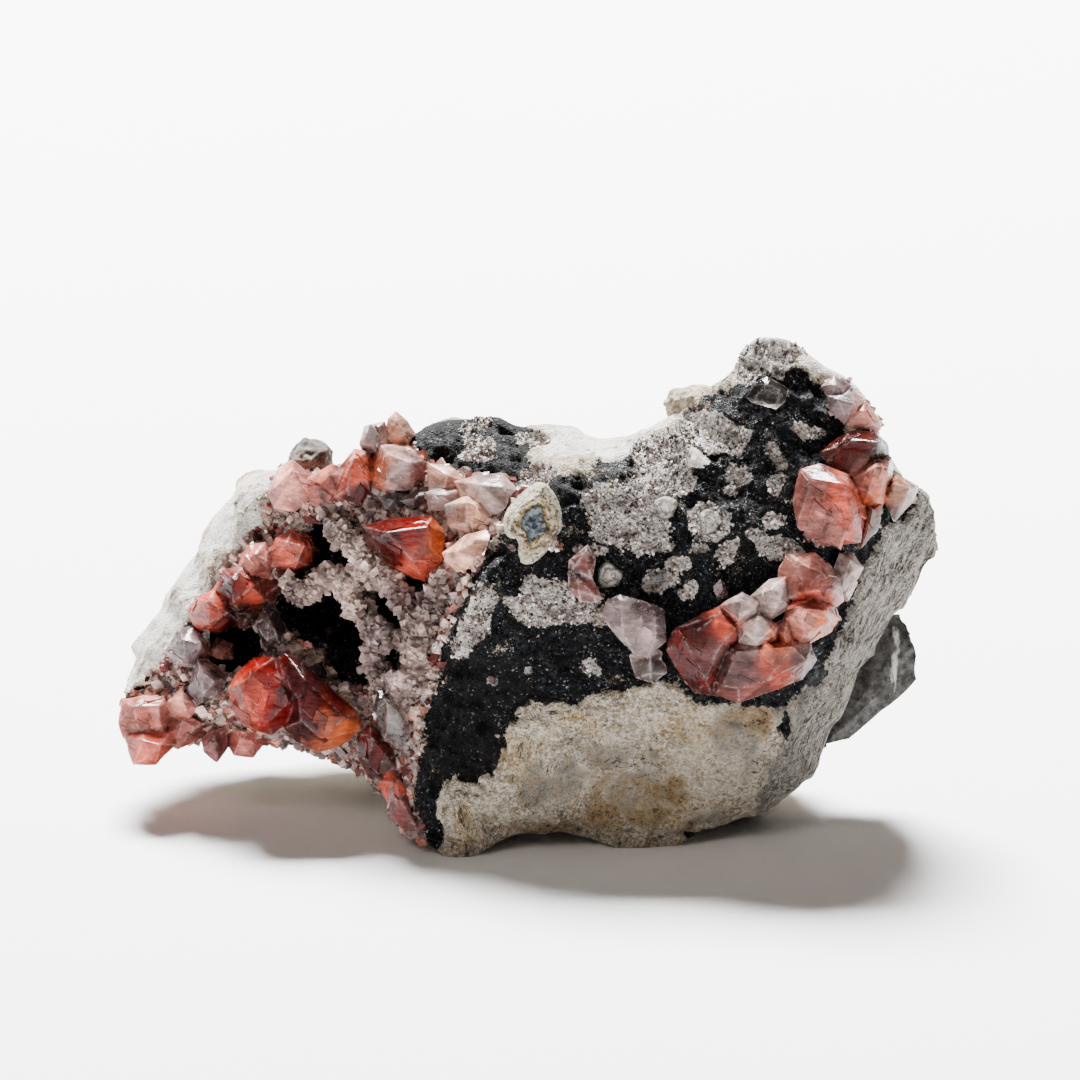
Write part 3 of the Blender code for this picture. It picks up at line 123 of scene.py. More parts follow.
# %% A helper for shader nodes
def node(tree, kind, values=None, links=None, **settings):
    """A shader node. Settings are its own options, values fill its sockets, links feed them."""
    made = tree.nodes.new(kind)
    for key, value in settings.items():
        setattr(made, key, value)
    for key, value in (values or {}).items():
        made.inputs[key].default_value = value
    for key, output in (links or {}).items():
        tree.links.new(output, made.inputs[key])
    return made


def new_material(name, values):
    """A material, its tree and its Principled BSDF, with values set on the shader's own sockets."""
    material = bpy.data.materials.new(name)
    material.use_nodes = True
    shader = material.node_tree.nodes["Principled BSDF"]
    for key, value in values.items():
        shader.inputs[key].default_value = value
    return material, material.node_tree, shader


def object_place(tree):
    """Object coordinates: the place in the part's frame, in metres, for every finished piece."""
    return node(tree, "ShaderNodeTexCoord").outputs["Object"]


print("materials before the first one:", len(bpy.data.materials))

# %% The floor
FLOOR_SIDE = 8.0
floor_material, floor_tree, floor_shader = new_material(
    "floor_paper", {"Roughness": 0.8, "Specular IOR Level": 0.1})
floor_grain = node(floor_tree, "ShaderNodeTexNoise", {"Scale": 30.0, "Detail": 3.0},
                   {"Vector": object_place(floor_tree)})
floor_tint = node(floor_tree, "ShaderNodeMapRange", {"To Min": 0.90, "To Max": 0.92},
                  {"Value": floor_grain.outputs["Fac"]})
floor_tree.links.new(floor_tint.outputs[0], floor_shader.inputs["Base Color"])

bpy.ops.mesh.primitive_plane_add(size=FLOOR_SIDE, location=(0.0, 0.0, 0.0))
floor = bpy.context.object
floor.name = "floor"
floor.data.materials.append(floor_material)
floor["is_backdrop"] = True
print("floor:", FLOOR_SIDE, "m across")

# %% Sky and soft lamps
SKY_STRENGTH = 0.12
WARM_WHITE = (1.0, 0.92, 0.85)
# Lamps: name, place in metres, size in metres, power in watts, colour.
LAMPS = [
    ("top_box", (-0.10, 0.74, 0.98), 0.45, 140.0, (1.0, 1.0, 1.0)),
    ("front_box", (-0.50, -0.90, 0.90), 0.4, 4.0, WARM_WHITE),
]

world = bpy.data.worlds.new("sky")
world.use_nodes = True
world.node_tree.nodes["Background"].inputs["Color"].default_value = (*WARM_WHITE, 1.0)
world.node_tree.nodes["Background"].inputs["Strength"].default_value = SKY_STRENGTH
bpy.context.scene.world = world

for lamp_name, place, size, power, colour in LAMPS:
    lamp_data = bpy.data.lights.new(lamp_name, "AREA")
    lamp_data.shape = "SQUARE"
    lamp_data.size = size
    lamp_data.energy = power
    lamp_data.color = colour
    lamp = bpy.data.objects.new(lamp_name, lamp_data)
    lamp.location = place
    lamp.rotation_euler = Vector(place).to_track_quat("Z", "Y").to_euler()
    bpy.context.scene.collection.objects.link(lamp)
    print(lamp_name, power, "W over", size, "m")

# %% [markdown]
# ## Noise worked out on whole arrays
# Rock is rough at every scale. Two patterns give most of it: a smooth noise, blended between
# random values on a cubic lattice, and a cell pattern, the distance to the nearest of many
# scattered seeds, which makes rounded knobs and grains. Blender's Displace modifier has such
# patterns too, but here the masks of the zones decide where each one acts, and arrays make that
# easy: both patterns are computed for all points at once.

# %% Lattice noise
AXIS_KEYS = np.array([73856093, 19349663, 83492791])
SEED_KEY, MIX_KEY, LARGEST_KEY = 2654435761, 1274126177, 2147483647
LAYER_FADE = 0.55


def scrambled(corner, seed):
    """A whole number for each lattice corner, the same each run: multiply, shift and mix."""
    key = corner @ AXIS_KEYS + seed * SEED_KEY
    return (key ^ (key >> 13)) * MIX_KEY % LARGEST_KEY


def lattice_noise(points, size, seed):
    """Smooth noise from -1 to 1: random values on a cubic lattice, blended between its corners."""
    cell = np.asarray(points, float) / size
    corner = np.floor(cell).astype(np.int64)
    part = cell - corner
    part = part * part * (3.0 - 2.0 * part)
    total = np.zeros(cell.shape[:-1])
    for step in np.ndindex(2, 2, 2):
        share = np.prod(np.where(np.array(step) == 1, part, 1.0 - part), axis=-1)
        total += share * (scrambled(corner + step, seed) % 65536) / 65535.0
    return 2.0 * total - 1.0


def layered_noise(points, size, seed, layers=3):
    """Several lattice noises, each half the size and 0.55 of the strength of the one before."""
    total = 0.0
    for layer in range(layers):
        total = total + LAYER_FADE ** layer * lattice_noise(points, size / 2.0 ** layer, seed + 7 * layer)
    return total


test_places = np.array([[0.2, 1, 2], [5, 5, 5], [9, 1, 4]])
print("noise at three points:", np.round(lattice_noise(test_places, 3.0, 1), 3))

# %% Cell pattern, knobs and a soft step
KNOB_REACH = 0.75


def cell_pattern(points, size, seed):
    """Distance to the nearest of the seeds strewn one to a cube, in cube sizes."""
    cell = np.asarray(points, float) / size
    corner = np.floor(cell).astype(np.int64)
    nearest = np.full(cell.shape[:-1], 9.0)
    for step in np.ndindex(3, 3, 3):
        near = corner + np.array(step) - 1
        key = scrambled(near, seed)
        jitter = np.stack([(key >> shift) % 1024 / 1023.0 for shift in (0, 10, 20)], axis=-1)
        nearest = np.minimum(nearest, np.linalg.norm(near + jitter - cell, axis=-1))
    return nearest


def knobs(points, size, seed):
    """Rounded knobs, 1 at each seed and 0 from 0.75 of a cube away."""
    return np.sqrt(np.clip(1.0 - (cell_pattern(points, size, seed) / KNOB_REACH) ** 2, 0.0, 1.0))


def smooth_step(x):
    """0 below 0, 1 above 1, and an S-curve between."""
    x = np.clip(x, 0.0, 1.0)
    return x * x * (3.0 - 2.0 * x)


print("knobs at three points:", np.round(knobs(test_places, 3.0, 1), 3))

# %% [markdown]
# ## The shape of the rock
# The rock is one closed skin over a grid of two parameters: how far along u, and how far round,
# up the front and down the back. Its outline is a top and a bottom line. Its depth is four smooth
# sheets through pins: the faces of the two lobes, the rim and the back. It could be sculpted by
# hand instead, but pins can be read, moved and repeated. They are the same pins and the same
# coarse roughness as in the solid that stands behind this skin, so the skin fits it, but the grid
# is ten times finer.

# %% Feet and outline, in show-plane millimetres
LEFT_END, RIGHT_END = -41.0, 40.9
FRONT_ROLL = 3.5                 # rounding of the front face towards the outline
BACK_ROLL = 9.0                  # rounding of the back

# Where the rock stands flat on what carries it: x, y and radius in the part's frame, millimetres.
FEET = [(-7.5, -19, 3), (11.5, -15, 3.5), (-6, 9, 4), (8, 7, 6), (19, 5, 3)]

# Outline of the rock in the show plane (u, v).
TOP_LINE = [
    (-41, 17), (-39.9, 21.1), (-37, 26.2), (-34.9, 30), (-32.5, 33), (-31.5, 35.5),
    (-29, 38), (-26.5, 39.4), (-23, 39.2), (-19, 38.8), (-15, 40.5), (-12, 42.2),
    (-9, 44.3), (-5, 44.7), (-3, 44.5), (-1, 43.5), (1.5, 43.5), (4, 43),
    (7, 42), (11, 43), (13, 44.2), (15.4, 45.6), (17.6, 47), (20.2, 48.7),
    (21.4, 50.6), (22, 51.9), (23.2, 52.4), (26.3, 52.1), (27.8, 50.9), (28.8, 49.6),
    (32, 48), (34, 46), (35, 44.3), (35.2, 42.1), (36.2, 40.1), (37.4, 38.6),
    (39.1, 37.5), (40.1, 36.3), (40.9, 34.5),
]
BOTTOM_LINE = [
    (-41, 15.5), (-38, 14.5), (-34, 12.5), (-29, 11.5), (-23, 10.9), (-20.3, 9.6),
    (-17.4, 9.1), (-16.5, 8.4), (-15.5, 7), (-13, 4.8), (-12, 3), (-10, 1.2),
    (-8.9, 0.7), (-7.4, -0.2), (-6, -0.2), (-4.6, 0.4), (-3.5, 1.5), (-0.6, 2.7),
    (1.7, 2.4), (3.3, 2.9), (4.8, 2.2), (6.6, 1.8), (8.8, 1), (11, 0.7), (14.1, 1.2),
    (17.9, 2.4), (21.7, 3.8), (24.8, 5.5), (27.8, 8.2), (29.4, 10.5), (32, 16),
    (34, 19.5), (37.2, 24.8), (39, 27), (40.4, 29.2), (40.9, 31.8),
]
print("outline marks:", len(TOP_LINE), "above,", len(BOTTOM_LINE), "below")

# %% Depth pins of the two faces (u, v, w): how far the surface stands out of the show plane
RIGHT_FACE_PINS = [
    (11, 30, 0), (3, 30, -0.3), (1, 38, -2), (-3, 24, -0.8), (-8, 22, -2.5), (-9, 10, -3.5),
    (-10.5, 14, -4), (-7.4, 2, -4), (-5, 6, -2.8), (3, 15.5, -0.4), (3, 9, -2.4),
    (3, 4, -5), (11, 17, 0.2), (11, 10, -2.4), (11, 4, -6), (21, 14, -1), (21, 7, -6),
    (17, 39, -1.5), (11, 43, -6.5), (21, 46, -4.5), (24, 51.5, -8), (29, 39, -1.8),
    (33, 46, -6.5), (35, 42, -6.2), (38.5, 37, -6.5), (34.5, 32, -2.8), (33, 29.4, -2.4),
    (30, 22, -2), (27, 16, -3), (33, 22, -7), (37, 30, -7.5), (40.5, 33, -11.5),
    (29.2, 11, -10), (25, 6, -9.5), (7, 40.5, -5), (3, 42, -10),
]
LEFT_FACE_PINS = [
    (-41, 16, -20), (-38, 12, -17.5), (-33, 12, -14.5), (-26.5, 12, -13.5), (-19, 10, -12.5),
    (-15, 8, -9.5), (-13, 16, -8), (-10, 24, -8), (-7, 30, -7.5), (-3, 34, -7),
    (-12.5, 31, -12), (-5, 39, -14), (-6, 43, -18), (1, 42, -16), (-15, 39, -17),
    (-23, 37, -19), (-29, 34, -22), (-33, 27, -21), (-38, 20, -21), (-20, 26, -16),
    (-27, 22, -17), (-23, 16, -13.5),
]
print("face pins:", len(RIGHT_FACE_PINS), "right,", len(LEFT_FACE_PINS), "left")

# %% Depth pins of the rim and the back
EDGE_PINS = [
    (-41.3, 13, -22), (-33, 31, -28), (-23, 40, -27), (-13, 44, -25), (-5, 44.7, -22),
    (3, 43, -18), (12, 44, -14), (19, 47.5, -11), (24, 52.3, -9), (32, 48, -9),
    (37, 39, -10), (40.9, 33, -13), (37.2, 24.8, -13), (33, 17, -13), (29.4, 10.5, -12),
    (21, 3.8, -11), (11, 0.7, -8), (3, 2.7, -9), (-7.4, -0.2, -4.5), (-13, 3.5, -7),
    (-14, 6.2, -10), (-19, 9.2, -18), (-29, 10.5, -20), (-39, 9.5, -20),
]
BACK_PINS = [
    (24, 49, -20), (32, 41, -24), (37, 32, -24), (32, 21, -28), (25, 12, -32),
    (19, 7, -33.5), (11, 8, -36), (-3, 8, -36.5), (11, 26, -34), (11, 38, -29),
    (3, 30, -36), (-5, 26, -39), (-13, 36, -39), (-23, 30, -42), (-33, 22, -38),
    (-38, 14, -32), (-23, 16, -39), (-13, 14, -38.5), (-8, 3, -20),
]
print("other pins:", len(EDGE_PINS), "rim,", len(BACK_PINS), "back")

# %% Ridge, hollows and lumps
# The ridge between the lobes, from its foot to the saddle (v, u).
RIDGE_V = [1, 6, 10, 14, 17, 22, 26, 30, 33, 36, 38.2, 41, 44]
RIDGE_U = [-10.2, -12, -11.5, -10.5, -9.8, -8.5, -7.5, -5, -3, -1, 1, 2, 3.5]
RIDGE_HALF_WIDTH = 1.4

# Hollows of the left lobe: centre u and v, half-width, half-height, depth.
HOLLOWS = [
    (-19.5, 31.2, 3, 2.6, 8), (-21, 25, 4.2, 3.4, 9), (-12.5, 26, 2.8, 3, 7),
    (-16.5, 20.5, 3.8, 2.8, 8), (-29.8, 21.2, 2.8, 2.2, 5),
]

# Lumps that grew on the rock: u, v, half-width, half-height, height over the face.
FACE_LUMPS = [
    (13.3, 41, 1.9, 1.5, 0.9), (17.4, 43.4, 1.6, 1.3, 1), (13.6, 35.3, 1.2, 1.2, 1),
    (18, 33.9, 1.4, 1.2, 1), (7.9, 28.4, 1.3, 1.4, 1.1), (24.3, 32.4, 3.2, 1.1, 0.9),
    (9.4, 33.2, 2, 1, 1), (3.2, 25.4, 1.8, 1.5, 0.8), (-5.8, 23.8, 1.4, 2.6, 0.7),
    (22.6, 49.8, 1.5, 1, 0.8), (20.4, 38.9, 1.2, 1.2, 0.6), (24.8, 40.6, 1, 1, 0.6),
    (11.3, 28.2, 1.6, 1.2, 0.8),
]
print("hollows:", len(HOLLOWS), "lumps:", len(FACE_LUMPS))

# %% Sheets through the pins
def soft_line(points, u, reach=0.9):
    """Height of an outline at u: straight runs between its points, averaged over a short reach."""
    us, vs = np.array(points).T
    shifts = np.linspace(-reach, reach, 7)
    return np.mean([np.interp(u + shift, us, vs) for shift in shifts], axis=0)


def thin_plate(pins):
    """The smooth sheet through all pins: a plane plus one r*r*log(r) dome for each pin."""
    pins = np.array(pins, float)
    pu, pv, pw = pins.T

    def domes(u, v):
        """r*r*log(r) from every pin."""
        square = (u[..., None] - pu) ** 2 + (v[..., None] - pv) ** 2
        return 0.5 * square * np.log(square + 1e-9)

    count = len(pins)
    flat = np.stack([np.ones(count), pu, pv], axis=1)
    system = np.zeros((count + 3, count + 3))
    system[:count, :count] = domes(pu, pv)
    system[:count, count:] = flat
    system[count:, :count] = flat.T
    weights = np.linalg.solve(system, np.append(pw, np.zeros(3)))

    def sheet(u, v):
        """The depth at (u, v): the weighted domes plus the plane."""
        u, v = np.asarray(u, float), np.asarray(v, float)
        bend = domes(u, v) @ weights[:count]
        return bend + weights[count] + weights[count + 1] * u + weights[count + 2] * v

    return sheet


right_face, left_face = thin_plate(RIGHT_FACE_PINS), thin_plate(LEFT_FACE_PINS)
edge_depth, back_face = thin_plate(EDGE_PINS), thin_plate(BACK_PINS)
print("depth in the middle of each lobe:", right_face(12, 25).round(1), left_face(-22, 24).round(1))

# %% The two lobes blended, and the distance to lines
HOLLOW_FALL = 0.7


def across_ridge(u, v):
    """Distance to the right of the ridge line, along u."""
    return u - np.interp(v, RIDGE_V, RIDGE_U)


def front_depth(u, v):
    """Depth of the front: left and right sheets blended across the ridge, less the hollows."""
    share = smooth_step(0.5 + across_ridge(u, v) / (2.0 * RIDGE_HALF_WIDTH))
    left = left_face(u, v)
    for cu, cv, half_u, half_v, depth in HOLLOWS:
        reach = ((u - cu) / half_u) ** 2 + ((v - cv) / half_v) ** 2
        left = left - depth * np.exp(-reach * reach * HOLLOW_FALL)
    return left + (right_face(u, v) - left) * share


def line_distance(u, v, line):
    """Distance in the show plane to an open line of straight runs."""
    nearest = np.full(u.shape, 1e9)
    for (au, av), (bu, bv) in zip(line[:-1], line[1:]):
        du, dv = bu - au, bv - av
        along = np.clip(((u - au) * du + (v - av) * dv) / (du * du + dv * dv), 0.0, 1.0)
        nearest = np.minimum(nearest, (u - au - along * du) ** 2 + (v - av - along * dv) ** 2)
    return np.sqrt(nearest)


def edge_distance(u, v, mark_count=120):
    """Distance to the outline, both of its lines drawn with closely spaced marks."""
    marks = np.linspace(LEFT_END, RIGHT_END, mark_count)
    lines = [np.stack([marks, soft_line(points, marks)], axis=-1) for points in (TOP_LINE, BOTTOM_LINE)]
    return np.minimum(*(line_distance(u, v, line) for line in lines))


test_u, test_v = np.array([12.0, -22.0]), np.array([25.0, 24.0])
print("their distance to the outline:", edge_distance(test_u, test_v).round(1))

# %% Roundings, broken steps and normals
STEP_TILT, STEP_WANDER, STEP_DROP, STEP_MIDDLE = 0.35, 2.0, 0.28, 0.36


def quarter_round(distance, radius):
    """0 at the outline, 1 from one radius inwards, along a quarter circle."""
    rest = 1.0 - np.clip(distance / radius, 0.0, 1.0)
    return np.sqrt(1.0 - rest * rest)


def broken_steps(points, spacing, seed):
    """A slow rise, then a quick drop, along wandering bands: rock that broke in steps."""
    level = points[..., 1] + STEP_TILT * points[..., 0] + STEP_WANDER * lattice_noise(points, 10.0, seed)
    part = level / spacing - np.floor(level / spacing)
    return part - smooth_step((part - (1.0 - STEP_DROP)) / STEP_DROP) - STEP_MIDDLE


def skin_normals(points, reach=1):
    """Unit normals of the ring grid, from steps of some grid lines along it and round it."""
    along = np.zeros(points.shape)
    along[reach:-reach] = points[2 * reach:] - points[:-2 * reach]
    along[:reach], along[-reach:] = along[reach], along[-reach - 1]
    around = np.roll(points, -reach, axis=1) - np.roll(points, reach, axis=1)
    normal = np.cross(around, along)
    return normal / (np.linalg.norm(normal, axis=-1, keepdims=True) + 1e-12)


print("quarter round at 0, 1 and 3 mm:", quarter_round(np.array([0.0, 1.0, 3.0]), FRONT_ROLL).round(2))

# %% The grid of the rock
COLUMNS, FRONT_ROWS, BACK_ROWS = 430, 160, 62
END_GATHER, RIM_GATHER = 0.25, 0.4


def gathered(share, amount):
    """Shares from 0 to 1, some of them gathered towards both ends as on a half circle."""
    return (1.0 - amount) * share + amount * (0.5 - 0.5 * np.cos(np.pi * share))


grid_u = LEFT_END + (RIGHT_END - LEFT_END) * gathered(np.linspace(0.0, 1.0, COLUMNS), END_GATHER)
up_and_down = [np.linspace(0, 1, FRONT_ROWS + 1), np.linspace(1, 0, BACK_ROWS + 1)[1:-1]]
climb = gathered(np.concatenate(up_and_down), RIM_GATHER)
front_climb = climb[:FRONT_ROWS + 1]
is_back = np.arange(len(climb)) > FRONT_ROWS
low_line, high_line = soft_line(BOTTOM_LINE, grid_u), soft_line(TOP_LINE, grid_u)
v = low_line[:, None] + (high_line - low_line)[:, None] * climb
u = np.broadcast_to(grid_u[:, None], v.shape)
distance = edge_distance(u, v)
distance[:, 0] = 0.0
distance[:, FRONT_ROWS] = 0.0
print("rock grid:", v.shape, "points, up to", distance.max().round(1), "mm from the outline")

# %% The coarse rock on that grid
FRONT_ROUGH, BACK_ROUGH = 0.55, 1.2
FRONT_STEPS, BACK_STEPS = 0.5, 1.6
STEP_SPACING = 6.5

rim_w = edge_depth(u, v)
front_w = rim_w + (front_depth(u, v) - rim_w) * quarter_round(distance, FRONT_ROLL)
back_w = rim_w + (back_face(u, v) - rim_w) * quarter_round(distance, BACK_ROLL)
rock = np.stack([u, v, np.where(is_back, back_w, front_w)], axis=-1)
rough = lattice_noise(rock, 7.0, 3) * 0.7 + lattice_noise(rock, 3.4, 5) * 0.5
rough = rough * np.where(is_back, BACK_ROUGH, FRONT_ROUGH)
steps = broken_steps(rock, STEP_SPACING, 17) * np.where(is_back, BACK_STEPS, FRONT_STEPS)
rock = rock + skin_normals(rock, 5) * (rough + steps)[..., None]
print("depth from", rock[..., 2].min().round(1), "to", rock[..., 2].max().round(1))

# %% [markdown]
# ## Where each skin of the rock lies
# The show face of the right lobe and a cap on the left one are coated black. Patches of tiny
# pinkish-grey crystals grow on the coat. Below and behind, the bare rock shows, cream with ochre
# stains, and along the right rim it breaks in thin grey layers. Each skin could be a mesh of its
# own, but they run into each other and would show seams. So each one is a mask from 0 to 1 for
# every point of the grid, from a drawn outline or a list of spots, with its border frayed by
# noise. The masks shape the fine relief now and colour the rock later.

# %% Outlines of the zones (u, v)
BLACK_FACE = [
    (1, 38.2), (3.5, 38.6), (7, 40), (11, 41.5), (14, 43.2), (18, 46.2), (20.5, 48.3), (23, 49.6),
    (27, 49.2), (30, 46.6), (31.2, 43.8), (33, 41.5), (36, 38.9), (38.6, 38.2), (39.2, 36.9),
    (38.3, 35.5), (34.5, 32), (33.1, 29.4), (31.8, 25.6), (30.2, 22), (27, 15.6), (24, 14.8),
    (20.5, 15.2), (17.5, 15.6), (15, 17.2), (11, 17.4), (7, 16.8), (3, 15.4), (-0.5, 15),
    (-2, 13.5), (-2.7, 11.5), (-3.3, 10), (-4, 8.5), (-5.5, 7.7), (-7.5, 8.5), (-8.7, 7.6),
    (-9, 4.4), (-8.4, 1), (-11, -1), (-12.6, 6), (-11.8, 10), (-10.9, 14), (-10.2, 17), (-8.8, 22),
    (-7.6, 26), (-5, 30), (-3, 33), (-1.4, 36), (-1.6, 38.6),
]
BLACK_CAP = [
    (-12.6, 42.1), (-11, 43.8), (-8, 45), (-4, 45.4), (-1.4, 44.6), (0.8, 42.8), (-0.6, 41.6),
    (0.2, 39.6), (-0.8, 37.4), (-2.4, 38.6), (-5.3, 38.7), (-8, 38.7), (-11, 40.3),
]
LEFT_CRUST = [
    (-24.5, 40.5), (-26.2, 36), (-29, 31.5), (-31.5, 28), (-34.5, 24), (-36.6, 21), (-38.4, 17.5),
    (-41.4, 15.6), (-41.2, 10.5), (-35, 8.8), (-30, 10.6), (-20, 9), (-16.5, 8), (-13, 4), (-10, 0.4),
    (-11.5, 10), (-10, 17), (-7.5, 26), (-3, 33), (0.6, 38), (-1.4, 39.4), (-5.3, 39.2), (-9, 39.6),
    (-11.5, 41), (-13, 44.4), (-16, 43.6), (-20, 40),
]
# Along the top: pale crust, and partly painted highlight where the light falls brightest.
WHITE_TOP_AND_HIGHLIGHT = [
    (0.5, 44), (1.4, 40.8), (5, 40.4), (8.5, 41.8), (12, 43), (15.8, 45.6), (19, 47.6), (20.6, 49.2),
    (23.4, 49.6), (27, 49.4), (29.4, 48.6), (34, 44.8), (36.8, 46), (30, 54), (20, 54.5), (12, 47),
    (5, 45),
]
GREY_RIM = [
    (39.4, 37), (38.2, 35), (34.4, 31.6), (33, 29), (30, 21.6), (26.6, 14.6), (24, 9), (22, 3.2),
    (30, 4), (38, 18), (43, 30), (42.5, 38),
]
RIM_BAND = [(39, 37), (35.2, 33.2), (33.2, 29.4), (31.9, 26), (30.2, 22), (28.2, 17.6)]
RIM_BAND_WIDTH = 0.55
print("corners of the black face:", len(BLACK_FACE), "of the left crust:", len(LEFT_CRUST))

# %% Patches of tiny crystals and white crust: ellipses (u, v, half-width, half-height)
DRUSE_SPOTS = [
    (13.2, 41.2, 3, 1.5), (8.2, 35.8, 2.4, 2.4), (10.4, 34.2, 3, 2.6), (12.6, 37.6, 2.8, 2.2),
    (8, 33.4, 1.9, 1.6), (11.8, 32, 2.4, 1.2), (15.2, 38.4, 1.4, 2), (17.2, 43, 3.2, 1.6),
    (20.5, 42.6, 1.6, 1.2), (20.5, 38.9, 1.25, 1.3), (24.8, 40.6, 1, 1), (24.6, 38, 0.9, 1.1),
    (20.2, 36.9, 0.7, 0.7), (17.8, 34, 2, 1.5), (24.2, 33.8, 1.2, 1), (22.4, 32.2, 1.5, 0.8),
    (24.6, 31.4, 2.2, 0.8), (26.6, 30.6, 1.2, 0.6), (19, 30.6, 1.3, 1.3), (15, 29.4, 1, 0.9),
    (13, 27.9, 1.6, 1.3), (15.6, 26.5, 0.9, 0.8), (16.6, 31.4, 0.8, 0.7),
    (-4.6, 26, 1.2, 2), (-6.2, 23.6, 1.5, 2), (-7, 21.4, 1.2, 1.2),
    (2.2, 26.6, 3, 1.6), (-0.6, 25.6, 2, 1.2), (4.6, 24.8, 2.6, 1.2), (1.4, 24, 2.4, 1),
    (7.2, 24.4, 1.4, 0.8), (6.2, 31, 1.2, 0.8), (-4.8, 44, 0.8, 0.5),
    (-5.2, 41.8, 1.7, 1.4), (0.2, 42.4, 1.4, 0.9), (0.8, 38.9, 1.6, 1), (28.8, 42.8, 1.4, 0.9),
    (2.6, 31.4, 0.7, 0.6), (-0.4, 27.8, 1, 0.9), (27.4, 43.4, 0.8, 0.5), (-4.2, 17.6, 0.5, 0.5),
    (5.8, 19.4, 1.2, 0.9), (24, 50.6, 3, 1.6), (21.4, 49.4, 1.4, 1.2),
]
WHITE_SPOTS = [
    (12.8, 41.4, 1.8, 1), (17.4, 43.6, 1.7, 1.2), (3.6, 26.2, 1.4, 0.8), (24.6, 51.4, 2.2, 1),
    (9.6, 33.4, 1.4, 0.7), (-6.6, 22.4, 0.8, 1), (1.6, 26.9, 1.2, 0.7), (23.4, 31.7, 1.6, 0.6),
    (28, 50.2, 1.6, 1.2), (-6.2, 25, 0.7, 1.2), (17.4, 43, 3, 1.7), (12.8, 41.4, 3, 1.2),
    (8.6, 40.9, 2.4, 0.9), (22.6, 50.8, 1.8, 1), (16.4, 40.4, 1.4, 0.8),
]
print("patches:", len(DRUSE_SPOTS), "white spots:", len(WHITE_SPOTS))

# %% Stains, as ellipses too
OCHRE_SPOTS = [
    (-5, 25.2, 1.3, 2.4), (6.6, 24.8, 1.4, 0.9), (11.5, 36.2, 0.4, 0.4), (15.4, 13.8, 3.4, 1.3),
    (4.4, 13.6, 3, 1), (-1, 10.2, 2.2, 2.4), (28.6, 42.9, 1.2, 0.7), (7.4, 4.6, 2.4, 1.6),
    (13.2, 5.2, 3, 2), (-6.8, 4.2, 1.4, 2.4), (3.2, 42.6, 2.6, 0.8), (-38.4, 20.4, 1.2, 3.2),
    (-32.4, 32, 2, 3), (15.8, 45.8, 2.4, 0.8), (23.4, 12.4, 1.8, 2), (-40.2, 16.8, 0.8, 1.4),
]
BROWN_SPOTS = [
    (8, 5.6, 1.9, 1.5), (3, 2.6, 3.4, 0.7), (11.6, 4.4, 1.2, 1.2), (23.5, 12.8, 1.5, 2),
    (13.8, 6.2, 1.5, 0.8), (16.2, 2.6, 1.4, 0.8), (21.2, 14.4, 1.6, 0.7),
]
GREY_SPOTS = [
    (7.6, 10.4, 3.4, 2), (11.4, 6, 1.6, 2.6), (2, 7.6, 3, 1.2), (20.5, 11.5, 2.6, 3.6),
    (26.4, 14.4, 1.6, 2), (16.6, 2.8, 2.6, 1), (-36.4, 25.4, 1, 1), (-30.6, 33.6, 0.8, 1.2),
    (2.4, 41.9, 0.8, 0.4),
]
BLACK_SPOTS = [
    (24.8, 51.8, 0.9, 0.35), (23.4, 50.7, 0.9, 0.3), (18.8, 15.8, 2.4, 0.9), (24.6, 16.2, 2, 1.1),
    (25.6, 13.6, 0.6, 1.6), (-38.6, 17, 1.8, 0.6), (-23.2, 40.6, 1.2, 0.8), (15, 42, 0.7, 1.2),
    (5, 41.4, 1.6, 0.35), (16, 2.2, 1.2, 0.5), (-22.6, 34, 1.4, 0.9),
]
# Where the coat is matt and folded.
MATT_SPOTS = [
    (-6.5, 13, 6.5, 8), (-3.5, 34.5, 2.5, 4), (4, 38.6, 4.6, 2.6), (-6, 42, 8, 5), (20.5, 48, 4, 1.2),
]
print("stains:", len(OCHRE_SPOTS), "ochre,", len(BROWN_SPOTS), "brown,", len(GREY_SPOTS), "grey")

# %% Masks from outlines and spots
def inside_distance(u, v, outline):
    """Distance to a closed outline, positive inside: its nearest edge, signed by counting crossings."""
    corners = np.array(outline, float)
    inside = np.zeros(u.shape, bool)
    for (au, av), (bu, bv) in zip(corners, np.roll(corners, -1, axis=0)):
        if abs(bv - av) > 1e-9:
            inside ^= ((av > v) != (bv > v)) & (u < (bu - au) * (v - av) / (bv - av) + au)
    return np.where(inside, 1.0, -1.0) * line_distance(u, v, np.append(corners, corners[:1], axis=0))


def zone_mask(u, v, outline, border):
    """1 inside an outline and 0 outside, with an S-curve across a border this wide."""
    return smooth_step(0.5 + inside_distance(u, v, outline) / border)


def spots_mask(u, v, spots, soft=0.45):
    """1 inside the ellipses, falling to 0 over a share of their size."""
    best = np.zeros(u.shape)
    for cu, cv, half_u, half_v in spots:
        reach = np.hypot((u - cu) / half_u, (v - cv) / half_v)
        best = np.maximum(best, smooth_step((1.0 + soft / 2 - reach) / soft))
    return best


def noise_mask(points, size, seed, start, width):
    """0 where a layered noise is below its start, 1 from one width higher."""
    return smooth_step((layered_noise(points, size, seed) - start) / width)


print("inside the black face:", inside_distance(test_u, test_v, BLACK_FACE).round(1))

